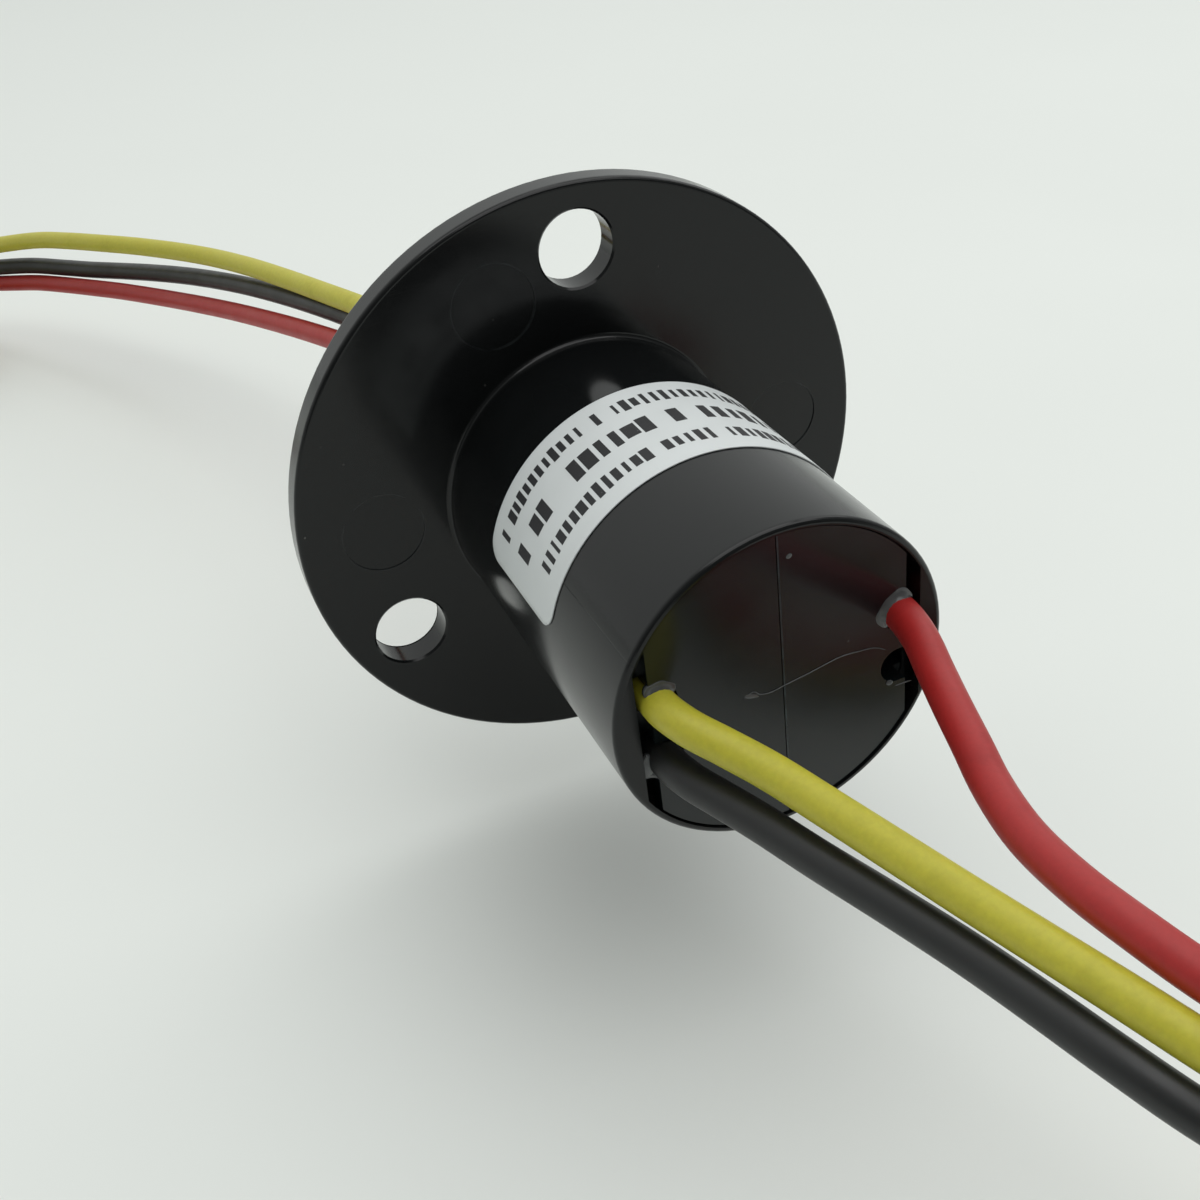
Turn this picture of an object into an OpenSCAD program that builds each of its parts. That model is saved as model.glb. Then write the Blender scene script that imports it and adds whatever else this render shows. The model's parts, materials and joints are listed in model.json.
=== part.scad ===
// Capsule slip ring with three circuits, fixed by a thin round flange.
// The turning axis is horizontal: the end cover looks along -Y, the flange
// seats on the plane y = 0 and the first bolt hole is straight up, along +Z.

/* [Flange] */
// Outer diameter of the flange
flange_d = 44.4; // [42:0.1:60]
// Thickness of the flange
flange_t = 2.2; // [1.6:0.1:4]
// Diameter of the circle through the bolt holes
bolt_circle_d = 35.2; // [33:0.1:38]
// Diameter of each bolt hole
bolt_hole_d = 5.4; // [3:0.1:6.5]
// Number of bolt holes
bolt_count = 3; // [3:1:6]
// Diameter of the shallow marks left by the mould's ejector pins
ejector_mark_d = 6; // [2:0.5:7]
// Rounding of the outer edges of the housing
edge_r = 0.35; // [0.1:0.05:0.6]
// Chamfer of the bolt holes' edges
hole_edge = 0.15; // [0.05:0.05:0.4]

/* [Housing] */
// Diameter of the barrel
body_d = 22; // [21.6:0.1:30]
// Wall of the barrel at its round sides
wall = 1.1; // [0.8:0.05:1.6]
// Wall of the barrel behind its two inner flats
flat_wall = 1.8; // [1.8:0.05:2.4]
// Wall of the thin lip around the end cover
lip_wall = 0.45; // [0.35:0.05:0.7]
// Wall of the lip behind its two flats
lip_flat_wall = 1.6; // [1.4:0.05:1.75]
// Thickness of the floor behind the flange
floor_t = 2.0; // [1.6:0.1:2.4]
// Turn of the end cover against the bolt holes, in degrees
cover_turn = 4; // [-10:1:10]

/* [End cover] */
// Thickness of the two end plates
plate_t = 1.4; // [1:0.1:2.5]
// Depth of the plates below the rim
plate_recess = 0.15; // [0:0.05:0.5]
// Gap between the plates and the rim
plate_gap = 0.12; // [0.05:0.01:0.3]
// Gap between the straight side of a plate and the flat beside it
side_slot = 0.9; // [0.4:0.1:1.2]
// Distance between the two wire notches of a plate
notch_pitch = 4.1; // [3.6:0.1:4.6]
// Extra width of a wire notch
notch_play = 0.3; // [0.1:0.05:0.5]

/* [Rotor] */
// Diameter of the hollow spindle and of the front bearing's bore
spindle_d = 8; // [8:0.1:9]
// Length of the spindle's nose in front of the flange
nose_l = 4; // [2:0.5:8]
// Width of one contact ring
ring_w = 3.5; // [2.8:0.1:5]
// Outer diameter of a contact ring
ring_d = 11; // [10.4:0.1:11.4]
// Depth of the ring's V groove
groove_depth = 0.7; // [0.5:0.05:0.9]
// Thickness of an insulating barrier
barrier_t = 1.5; // [1:0.1:2]
// Outer diameter of an insulating barrier
barrier_d = 12.4; // [12:0.1:12.6]
// Diameter of the rear journal
journal_d = 5; // [4:0.1:5.5]

/* [Bearings] */
// Outer diameter of the front bearing
front_bearing_d = 12; // [12:0.1:13]
// Width of the front bearing
front_bearing_w = 3.5; // [2.5:0.1:4]
// Outer diameter of the rear bearing
rear_bearing_d = 8; // [8:0.1:9]
// Width of the rear bearing
rear_bearing_w = 2.5; // [2:0.1:3]

/* [Wires] */
// Diameter of a lead wire over its insulation
wire_d = 2.2; // [1.8:0.1:2.4]
// Diameter of a bare conductor
conductor_d = 1.0; // [0.6:0.1:1.2]
// Diameter of a brush wire
brush_d = 0.5; // [0.3:0.05:0.6]

/* [Label] */
// Width of the label along the barrel
label_w = 10.3; // [6:0.1:14]
// Length of the label around the barrel
label_l = 35; // [20:1:60]
// Thickness of the label
label_t = 0.1; // [0.05:0.01:0.2]
// Distance from the flange to the label
label_gap = 8.6; // [2:0.1:12]
// Angle of the label's left end about the axis, in degrees
label_start = 172; // [120:1:200]

/* [Hidden] */
$fn = 96;

// Colours
plastic_black = "#17171a";
rotor_black = "#26262a";
steel = "silver";
brass = "#c9a24a";
gold = "#e0bb55";
insulator = "#2f3a3a";
wire_yellow = "#a39a2c";
wire_black = "#1b1b1d";
wire_red = "#b3141f";
paper_white = "#f1f1ec";
resin = "#d9d6c4";
nylon = "#e8e8e4";

// Clearances
run_gap = 0.04;        // radial play of a running fit
air_gap = 0.3;         // between parts that pass without touching
seat_gap = 0.1;        // between the covers' arms and the housing's bore
half_gap = 0.03;       // from the middle plane to each half of the cover

// Positions along the axis, measured from the flange's seat towards the cover
nose_end = -flange_t - nose_l;
front_lip_t = 0.8;
front_lip_w = 1;
front_bearing_z = -flange_t + front_lip_t;
boss_wall = 1.5;
boss_end = front_bearing_z + front_bearing_w;
floor_z = -flange_t + floor_t;
shoulder_d = spindle_d + 1.4;
shoulder_end = boss_end + 1.2;
stack_z = shoulder_end + 0.7;
ring_pitch = ring_w + barrier_t;
collar_z = stack_z + 3 * ring_w + 3 * barrier_t;
collar_t = 2.0;
step_z = collar_z + collar_t + 1.0;
rear_bearing_z = step_z + 1.2;
rear_clip_z = rear_bearing_z + rear_bearing_w;
clip_t = 0.4;
journal_end = rear_clip_z + clip_t + 0.3;
plate_z = journal_end + air_gap;
body_l = plate_z + plate_t + plate_recess;

// Radii
body_r = body_d / 2;
bore_r = body_r - wall;
bore_flat = body_r - flat_wall;
lip_r = body_r - lip_wall;
lip_flat = body_r - lip_flat_wall;
hub_wall = 1.5;
hub_bore_d = journal_d + 2.4;
tail_d = spindle_d - 0.6;
rear_step_d = journal_d + 1;
clip_groove_d = journal_d - 0.8;
clip_d = journal_d + 1.2;
clip_slot = 1.6;
lead_hole_d = conductor_d + 0.3;
bundle_r = (wire_d + 0.1) / sqrt(3);
bundle_d = 2 * bundle_r + wire_d;
spindle_bore_d = bundle_d + 0.3;
ball_play = 0.02;
front_balls = 13;
rear_balls = 11;

// Brush arms beside the rotor
arm_inner = barrier_d / 2 + 0.7;
arm_half = 6.4;
arm_start = boss_end + air_gap;
finger_y = ring_d / 2 - groove_depth + brush_d / 2 * sqrt(2) + run_gap;
spine_x = arm_inner + 0.7;
finger_reach = 3.5;
wire_x = bore_flat - wire_d / 2 - seat_gap;
wire_y = notch_pitch / 2;
strip_t = bore_flat - seat_gap - (wire_x + conductor_d / 2);
strip_x = wire_x + conductor_d / 2;
strip_w = 1.8;
strip_foot = 0.6;      // strip's end past the brush
tab_t = 0.8;           // tab between strip and brush
strip_end = collar_z + collar_t + 0.2;
channel_z = strip_end - 1.8;
insulation_z = strip_end + 0.2;

// Each circuit: ring place along the stack, cover side (-1 left, 1 right)
// and height of its wire notch (1 upper, -1 lower)
circuit_yellow = [0, -1, 1];
circuit_red = [1, 1, 1];
circuit_black = [2, -1, -1];

// Lead wires: floor under the part and the wound coils that lie on it
ground_z = -30;
coil_mean_r = 11.6;
stator_coil_at = [28.7, -67];
rotor_coil_at = [-57.7, 125.3];
stator_coil_wide = 3;   // turns side by side
rotor_coil_wide = 2;
coil_high = 3;          // turns on top of each other
stator_tie_angle = 60;
rotor_tie_angle = 200;
tie_w = 2.4;
tie_t = 0.7;
tie_play = 0.2;
tube_sides = 8;

// Route points, from the exit to the coil
function notch_exit(circuit) =
    let (x = circuit[1] * wire_x, y = circuit[2] * wire_y)
    [x * cos(cover_turn) - y * sin(cover_turn), -(plate_z + plate_t),
     x * sin(cover_turn) + y * cos(cover_turn)];
function nose_exit(angle) =
    [bundle_r * cos(angle), -nose_end, bundle_r * sin(angle)];

// Place where a wire meets its coil: angle about the coil's middle, distance
// past the coil's outer side and height in wire diameters
function coil_meet(at, wide, angle, out, rise) =
    let (r = coil_mean_r + wide * wire_d / 2 + out)
    [at[0] + r * cos(angle), at[1] + r * sin(angle), ground_z + rise * wire_d];
function stator_meet(angle, out, rise) =
    coil_meet(stator_coil_at, stator_coil_wide, angle, out, rise);
function rotor_meet(angle, out, rise) =
    coil_meet(rotor_coil_at, rotor_coil_wide, angle, out, rise);

stator_route_yellow = [notch_exit(circuit_yellow), [-5, -34.5, 0.5],
    [-0.4, -47.5, 0], [3.4, -58.5, -0.3], [6.6, -64.5, -2], [9.6, -68.6, -6.8],
    [11, -70.2, -13.5], [12.5, -71.7, -20.2],
    stator_meet(-155.7, 0.78, 3.21)];
stator_route_black = [notch_exit(circuit_black), [-5.8, -35, -2.5],
    [-1.3, -48.5, -2.2], [2.2, -59.7, -2.5], [5.1, -64.1, -4.1], [7.8, -67.5, -8.1],
    [9.1, -68.7, -13.6], [10.9, -70.5, -21.4],
    stator_meet(-156.6, 1.09, 2.04)];
stator_route_red = [notch_exit(circuit_red), [5.9, -36, 2],
    [3.3, -46, 1.6], [4.7, -56.5, 1.5], [8.3, -64.7, 0], [11.5, -69.6, -5.6],
    [12.9, -71.6, -13.4], [14, -73, -18.9],
    stator_meet(-144.3, -0.33, 3.41)];
rotor_route_yellow = [nose_exit(90), [-0.5, 18, 1.1], [-2.6, 36, -1],
    [-6.2, 57, -3.9], [-14.7, 87, -7.6], [-24.8, 105, -9.7], [-36, 124.5, -13.6],
    [-45.3, 134.7, -17.7],
    rotor_meet(66.9, -0.31, 3.41)];
rotor_route_black = [nose_exit(330), [0.7, 18, -0.9], [-1.8, 36, -3.2],
    [-5.6, 57, -6.1], [-16.8, 95, -12.4], [-26.5, 113, -15.6], [-37.6, 128.5, -18],
    [-44, 134.7, -20],
    rotor_meet(51.4, 0.81, 3.26)];
rotor_route_red = [nose_exit(210), [-1.6, 18, -1], [-4, 36, -4.4],
    [-7.7, 57, -8.3], [-17.9, 93, -14.9], [-27.5, 112, -17.6], [-37.2, 127.5, -20.2],
    [-43.1, 134.3, -22.1],
    rotor_meet(50.2, 1.08, 2.14)];

// ---- helpers ----

// Children are drawn with +Z towards the end cover and +Y up
module along_axis() {
    rotate([90, 0, 0]) children();
}

// Plain disc or tube between two places on the axis
module tube(z, length, outer_d, inner_d = 0) {
    translate([0, 0, z]) difference() {
        cylinder(h = length, d = outer_d);
        if (inner_d > 0)
            translate([0, 0, -1]) cylinder(h = length + 2, d = inner_d);
    }
}

// Circle cut by two parallel flats, the outline of the housing's bore
module double_flat(r, flat) {
    intersection() {
        circle(r = r);
        square([2 * flat, 2 * r + 2], center = true);
    }
}

// Quarter arc of points about a centre, for rounded profile corners
function arc(cx, cy, r, from, to, steps = 6) =
    [for (i = [0 : steps]) let (a = from + (to - from) * i / steps)
        [cx + r * cos(a), cy + r * sin(a)]];

// Way of the curve at a route's point, weighted by the stretches beside it
function way_at(p, i, exit_way) =
    let (n = len(p), a = i > 0 ? p[i] - p[i - 1] : exit_way,
         b = i < n - 1 ? p[i + 1] - p[i] : a)
    i == 0 ? exit_way
        : (unit(a) * norm(b) + unit(b) * norm(a)) / (norm(a) + norm(b));

// Route with the middle of each stretch added, on the smooth curve through it
function smooth(p, exit_way) =
    [for (i = [0 : len(p) - 2]) each
        [p[i], (p[i] + p[i + 1]) / 2
            + (way_at(p, i, exit_way) - way_at(p, i + 1, exit_way)) * norm(p[i + 1] - p[i]) / 8],
     p[len(p) - 1]];

function unit(v) = v / norm(v);

// Solid tube swept along a route, with its first ring square to the axis
module sweep(route, d, sides = tube_sides) {
    exit_way = [0, sign(route[1][1] - route[0][1]), 0];
    p = smooth(route, exit_way);
    n = len(p);
    ring = [for (i = [0 : n - 1])
        let (t = i == 0 ? exit_way : unit(p[min(i + 1, n - 1)] - p[i - 1]),
             u = unit(cross(t, [0.3, 0.2, 1])), v = cross(t, u))
        [for (k = [0 : sides - 1]) let (a = 360 * k / sides)
            p[i] + d / 2 * (cos(a) * u + sin(a) * v)]];
    points = [for (r = ring) each r];
    walls = [for (i = [0 : n - 2], k = [0 : sides - 1])
        let (a = i * sides + k, b = i * sides + (k + 1) % sides)
        [a, a + sides, b + sides, b]];
    start = [for (k = [0 : sides - 1]) k];
    finish = [for (k = [sides - 1 : -1 : 0]) (n - 1) * sides + k];
    polyhedron(points, concat(walls, [start, finish]), convexity = 6);
}

// ---- stationary side ----

// Outline of the moulded shell, turned about the axis
module shell_profile() {
    r = flange_d / 2;
    polygon(concat(
        [[0, -flange_t]],
        arc(r - edge_r, -flange_t + edge_r, edge_r, -90, 0),
        arc(r - edge_r, -edge_r, edge_r, 0, 90),
        arc(body_r + edge_r, edge_r, edge_r, 270, 180),
        arc(body_r - edge_r, body_l - edge_r, edge_r, 0, 90),
        [[0, body_l]]));
}

// Space inside the barrel: a cup around the bearing boss, then the open bore
module shell_space() {
    boss_r = front_bearing_d / 2 + boss_wall;
    translate([0, 0, floor_z]) linear_extrude(boss_end - floor_z + 0.01) difference() {
        double_flat(bore_r, bore_flat);
        circle(r = boss_r);
    }
    translate([0, 0, boss_end]) linear_extrude(plate_z - boss_end + 0.01)
        double_flat(bore_r, bore_flat);
    translate([0, 0, plate_z]) linear_extrude(body_l - plate_z + 1)
        double_flat(lip_r, lip_flat);
}

module bolt_holes() {
    for (i = [0 : bolt_count - 1]) rotate(90 + i * 360 / bolt_count)
        translate([bolt_circle_d / 2, 0, 0]) {
            translate([0, 0, -flange_t - 1]) cylinder(h = flange_t + 2, d = bolt_hole_d);
            translate([0, 0, -hole_edge])
                cylinder(h = hole_edge, d1 = bolt_hole_d, d2 = bolt_hole_d + 2 * hole_edge);
            translate([0, 0, -flange_t])
                cylinder(h = hole_edge, d1 = bolt_hole_d + 2 * hole_edge, d2 = bolt_hole_d);
        }
}

module ejector_marks() {
    mark_circle_r = (flange_d + body_d) / 4 - 0.5;
    mark_depth = 0.08;
    for (a = [3, 113, 180]) rotate(a) translate([mark_circle_r, 0, -mark_depth])
        cylinder(h = 1, d = ejector_mark_d);
}

module housing() {
    color(plastic_black) along_axis() difference() {
        rotate_extrude() shell_profile();
        rotate(cover_turn) shell_space();
        translate([0, 0, front_bearing_z])
            cylinder(h = front_bearing_w + 0.01, d = front_bearing_d);
        translate([0, 0, -flange_t - 1])
            cylinder(h = flange_t + 2, d = front_bearing_d - 2 * front_lip_w);
        bolt_holes();
        ejector_marks();
    }
}

// One moulded half of the end cover: end plate, half of the rear bearing's
// hub and the arm that carries the brushes. Drawn for the side +X.
module cover_half(circuits) {
    difference() {
        union() {
            translate([0, 0, plate_z]) linear_extrude(plate_t) plate_outline();
            translate([0, 0, rear_bearing_z]) linear_extrude(plate_z - rear_bearing_z)
                intersection() {
                    circle(d = rear_bearing_d + 2 * hub_wall);
                    right_half();
                }
            translate([0, 0, arm_start]) linear_extrude(plate_z - arm_start) intersection() {
                double_flat(bore_r - seat_gap, bore_flat - seat_gap);
                translate([arm_inner, -arm_half]) square([body_r, 2 * arm_half]);
            }
        }
        tube(rear_bearing_z - 1, rear_bearing_w + 1, rear_bearing_d);
        tube(rear_bearing_z, plate_z - rear_bearing_z, hub_bore_d);
        for (y = [-wire_y, wire_y]) wire_channel(y);
        for (c = circuits) brush_slot(c);
    }
}

module right_half() {
    translate([half_gap, -body_r]) square([body_r, body_d]);
}

module plate_outline() {
    difference() {
        intersection() {
            double_flat(lip_r - plate_gap, lip_flat - side_slot);
            right_half();
        }
        for (y = [-wire_y, wire_y]) wire_notch(y);
    }
}

module wire_notch(y) {
    notch_d = wire_d + notch_play;
    translate([wire_x, y]) circle(d = notch_d);
    translate([wire_x, y - notch_d / 2]) square([body_r, notch_d]);
}

module wire_channel(y) {
    channel_w = wire_d + notch_play;
    translate([arm_inner - 1, y - channel_w / 2, channel_z])
        cube([body_r, channel_w, plate_z - channel_z]);
}

// Slot for the bent brush wire and the pocket for its terminal strip
module brush_slot(circuit) {
    z = ring_middle(circuit);
    span = 2 * finger_y + brush_d;
    translate([arm_inner - 1, -span / 2, z - brush_d / 2])
        cube([spine_x + brush_d / 2 - arm_inner + 1, span, brush_d]);
    translate([spine_x + brush_d / 2 - 0.1, circuit[2] * wire_y - strip_w / 2, z - tab_t / 2])
        cube([body_r, strip_w, tab_t]);
    translate([strip_x, circuit[2] * wire_y - strip_w / 2, z - strip_foot])
        cube([body_r, strip_w, channel_z - z + strip_foot + 0.1]);
}

function ring_z(circuit) = stack_z + barrier_t + circuit[0] * ring_pitch;
function ring_middle(circuit) = ring_z(circuit) + ring_w / 2;

// Children are drawn for the side +X and mirrored for a circuit on the left
module on_side(circuit) {
    along_axis() rotate(cover_turn)
        if (circuit[1] > 0) children();
        else mirror([1, 0, 0]) children();
}

module cover_left() {
    color(plastic_black) on_side(circuit_yellow)
        cover_half([circuit_yellow, circuit_black]);
}

module cover_right() {
    color(plastic_black) on_side(circuit_red) cover_half([circuit_red]);
}

// Hairpin of spring wire: its two fingers lie in the ring's groove, above and below
module brush(circuit, tint) {
    color(tint) on_side(circuit) translate([0, 0, ring_middle(circuit)]) {
        for (y = [-finger_y, finger_y]) translate([-finger_reach, y, 0])
            rotate([0, 90, 0]) cylinder(h = finger_reach + spine_x, d = brush_d, $fn = 24);
        translate([spine_x, -finger_y, 0]) rotate([-90, 0, 0])
            cylinder(h = 2 * finger_y, d = brush_d, $fn = 24);
        for (y = [-finger_y, finger_y]) translate([spine_x, y, 0])
            sphere(d = brush_d, $fn = 24);
    }
}

// Terminal strip from the brush to the wire's soldered end
module terminal(circuit) {
    z = ring_middle(circuit);
    color(brass) on_side(circuit) translate([0, circuit[2] * wire_y, 0]) {
        translate([strip_x, -strip_w / 2, z - strip_foot])
            cube([strip_t, strip_w, strip_end - z + strip_foot]);
        translate([spine_x + brush_d / 2, -strip_w / 2, z - tab_t / 2])
            cube([strip_x - spine_x - brush_d / 2, strip_w, tab_t]);
    }
}

// End of the wire inside the housing: insulation up to the cover, bare conductor below
module stator_lead(circuit, tint) {
    color(tint) on_side(circuit) translate([wire_x, circuit[2] * wire_y, 0]) {
        tube(insulation_z, plate_z + plate_t - insulation_z, wire_d);
        tube(channel_z + 0.3, insulation_z - channel_z - 0.3, conductor_d);
    }
}

module label() {
    label_angle = label_l / (PI * body_d) * 360;
    color(paper_white) along_axis() translate([0, 0, label_gap])
        rotate(label_start - label_angle) rotate_extrude(angle = label_angle)
            translate([body_r, 0]) square([label_t, label_w]);
}

// ---- bearings ----

function ball_circle_r(inner_d, outer_d) = (inner_d + outer_d) / 4;
function ball_d(inner_d, outer_d) = (outer_d - inner_d) * 0.3;

// Grooved race between two diameters
module race(z, width, inner_d, outer_d, bore_d, rim_d) {
    pitch_r = ball_circle_r(bore_d, rim_d);
    track_d = ball_d(bore_d, rim_d) + 2 * ball_play;
    color(steel) along_axis() translate([0, 0, z]) rotate_extrude() difference() {
        translate([inner_d / 2, 0]) square([(outer_d - inner_d) / 2, width]);
        translate([pitch_r, width / 2]) circle(d = track_d, $fn = 48);
    }
}

module outer_race(z, width, bore_d, rim_d) {
    pitch_d = (bore_d + rim_d) / 2;
    race(z, width, pitch_d + 0.5 * ball_d(bore_d, rim_d), rim_d, bore_d, rim_d);
}

module inner_race(z, width, bore_d, rim_d) {
    pitch_d = (bore_d + rim_d) / 2;
    race(z, width, bore_d, pitch_d - 0.5 * ball_d(bore_d, rim_d), bore_d, rim_d);
}

module ball_cage(z, width, bore_d, rim_d, count) {
    pitch_r = ball_circle_r(bore_d, rim_d);
    ball = ball_d(bore_d, rim_d);
    cage_w = 0.35 * ball;
    cage_l = 0.7 * ball;
    color(steel) along_axis() translate([0, 0, z + width / 2]) {
        for (i = [0 : count - 1]) rotate(i * 360 / count)
            translate([pitch_r, 0, 0]) sphere(d = ball, $fn = 32);
        rotate_extrude() translate([pitch_r - cage_w / 2, -cage_l / 2])
            square([cage_w, cage_l]);
    }
}

module front_outer_race() {
    outer_race(front_bearing_z, front_bearing_w, spindle_d, front_bearing_d);
}

module front_inner_race() {
    inner_race(front_bearing_z, front_bearing_w, spindle_d, front_bearing_d);
}

module front_ball_cage() {
    ball_cage(front_bearing_z, front_bearing_w, spindle_d, front_bearing_d, front_balls);
}

module rear_outer_race() {
    outer_race(rear_bearing_z, rear_bearing_w, journal_d, rear_bearing_d);
}

module rear_inner_race() {
    inner_race(rear_bearing_z, rear_bearing_w, journal_d, rear_bearing_d);
}

module rear_ball_cage() {
    ball_cage(rear_bearing_z, rear_bearing_w, journal_d, rear_bearing_d, rear_balls);
}

// ---- turning side ----

// Moulded hollow spindle with its front barrier and rear journal
module spindle() {
    blind_end = collar_z + collar_t;
    color(rotor_black) along_axis() difference() {
        union() {
            tube(nose_end, collar_z + collar_t - nose_end, spindle_d);
            tube(boss_end, shoulder_end - boss_end, shoulder_d);
            tube(shoulder_end, stack_z + barrier_t - shoulder_end, barrier_d);
            tube(collar_z + collar_t, step_z - collar_z - collar_t, tail_d);
            tube(step_z, rear_bearing_z - step_z, rear_step_d);
            tube(rear_bearing_z, rear_clip_z - rear_bearing_z, journal_d);
            tube(rear_clip_z, clip_t, clip_groove_d);
            tube(rear_clip_z + clip_t, journal_end - rear_clip_z - clip_t, journal_d);
        }
        tube(nose_end - 1, blind_end - nose_end, spindle_bore_d);
        for (i = [0 : 2]) rotate(lead_angle(i))
            translate([0, 0, stack_z + barrier_t + i * ring_pitch + ring_w / 2])
                rotate([0, 90, 0]) cylinder(h = spindle_d, d = lead_hole_d, $fn = 32);
    }
}

module contact_ring(circuit) {
    groove_w = 2 * groove_depth;
    color(brass) along_axis() translate([0, 0, ring_z(circuit)]) rotate_extrude() polygon([
        [spindle_d / 2, 0], [ring_d / 2, 0],
        [ring_d / 2, ring_w / 2 - groove_w / 2],
        [ring_d / 2 - groove_depth, ring_w / 2],
        [ring_d / 2, ring_w / 2 + groove_w / 2],
        [ring_d / 2, ring_w], [spindle_d / 2, ring_w]]);
}

module barrier(place) {
    color(insulator) along_axis()
        tube(stack_z + place * ring_pitch, barrier_t, barrier_d, spindle_d);
}

// Last barrier with the collar that clamps the stack
module clamp_collar() {
    color(insulator) along_axis() {
        tube(collar_z, collar_t, shoulder_d + 1, spindle_d);
        tube(collar_z, barrier_t, barrier_d, spindle_d);
    }
}

// Snap ring in the journal's groove
module rear_clip() {
    color(steel) along_axis() difference() {
        tube(rear_clip_z, clip_t, clip_d, clip_groove_d);
        translate([0, -clip_slot / 2, rear_clip_z - 1]) cube([journal_d, clip_slot, clip_t + 2]);
    }
}

function lead_angle(place) = [90, 210, 330][place];

// Resin that closes the nose around the three wires
module nose_seal() {
    seal_l = 3;
    color(resin) along_axis() difference() {
        tube(nose_end, seal_l, spindle_bore_d);
        for (i = [0 : 2]) rotate(lead_angle(i)) translate([bundle_r, 0, nose_end - 1])
            cylinder(h = seal_l + 2, d = wire_d);
    }
}

// Wire inside the spindle: insulation in the nose, bare conductor to its ring
module rotor_lead(circuit, place, tint) {
    strip_at = front_bearing_z + 3;
    ring_mid = ring_middle(circuit);
    color(tint) along_axis() rotate(lead_angle(place)) {
        translate([bundle_r, 0, 0]) {
            tube(nose_end, strip_at - nose_end, wire_d);
            tube(strip_at, ring_mid - strip_at, conductor_d);
            translate([0, 0, ring_mid]) sphere(d = conductor_d, $fn = 32);
        }
        translate([bundle_r, 0, ring_mid]) rotate([0, 90, 0])
            cylinder(h = spindle_d / 2 - bundle_r, d = conductor_d, $fn = 32);
    }
}

// ---- lead wires ----

// Closed solid of a wound coil lying on the ground
module coil(at, wide) {
    section_w = wide * wire_d;
    section_h = coil_high * wire_d;
    translate([at[0], at[1], ground_z]) rotate_extrude()
        translate([coil_mean_r - section_w / 2, 0]) square([section_w, section_h]);
}

// Band closed around the coil's section
module tie(at, wide, angle) {
    inner_w = wide * wire_d + 2 * tie_play;
    inner_h = coil_high * wire_d + 0.05;
    color(nylon) translate([at[0], at[1], ground_z]) rotate(angle)
        translate([coil_mean_r, tie_w / 2, 0]) rotate([90, 0, 0]) linear_extrude(tie_w)
            difference() {
                translate([-inner_w / 2 - tie_t, 0]) square([inner_w + 2 * tie_t, inner_h + tie_t]);
                translate([-inner_w / 2, -1]) square([inner_w, inner_h + 1]);
            }
}

module wire(route, tint) {
    color(tint) sweep(route, wire_d);
}

housing();
cover_left();
cover_right();
label();
front_outer_race();
rear_outer_race();
brush(circuit_yellow, gold);  // brush_yellow
brush(circuit_black, gold);  // brush_black
brush(circuit_red, gold);  // brush_red
terminal(circuit_yellow);  // terminal_yellow
terminal(circuit_black);  // terminal_black
terminal(circuit_red);  // terminal_red
stator_lead(circuit_yellow, wire_yellow);  // stator_lead_yellow
stator_lead(circuit_black, wire_black);  // stator_lead_black
stator_lead(circuit_red, wire_red);  // stator_lead_red
front_ball_cage();
rear_ball_cage();
spindle();
front_inner_race();
rear_inner_race();
rear_clip();
contact_ring(circuit_yellow);  // ring_yellow
contact_ring(circuit_red);  // ring_red
contact_ring(circuit_black);  // ring_black
barrier(1);  // barrier_1
barrier(2);  // barrier_2
clamp_collar();
nose_seal();
rotor_lead(circuit_yellow, 0, wire_yellow);  // rotor_lead_yellow
rotor_lead(circuit_red, 1, wire_red);  // rotor_lead_red
rotor_lead(circuit_black, 2, wire_black);  // rotor_lead_black
wire(stator_route_yellow, wire_yellow);  // stator_wire_yellow
wire(stator_route_black, wire_black);  // stator_wire_black
wire(stator_route_red, wire_red);  // stator_wire_red
color(wire_black) coil(stator_coil_at, stator_coil_wide);  // stator_coil
tie(stator_coil_at, stator_coil_wide, stator_tie_angle);  // stator_tie
wire(rotor_route_yellow, wire_yellow);  // rotor_wire_yellow
wire(rotor_route_black, wire_black);  // rotor_wire_black
wire(rotor_route_red, wire_red);  // rotor_wire_red
color(wire_black) coil(rotor_coil_at, rotor_coil_wide);  // rotor_coil
tie(rotor_coil_at, rotor_coil_wide, rotor_tie_angle);  // rotor_tie
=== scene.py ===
"""Looks of a capsule slip ring: finishes, lead wires, label, sealing resin, ties and studio.

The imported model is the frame. Sizes here are millimetres unless a name says otherwise, and mm()
turns them into the metres of the scene. The turning axis is Y: the end cover looks along -Y and
the first bolt hole is straight up, along +Z.
"""

from __future__ import annotations

import json
import logging
import math
from dataclasses import dataclass, field
from enum import Enum
from typing import Callable, Optional, Sequence

import bmesh
import bpy
from mathutils import Matrix, Vector, noise

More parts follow.
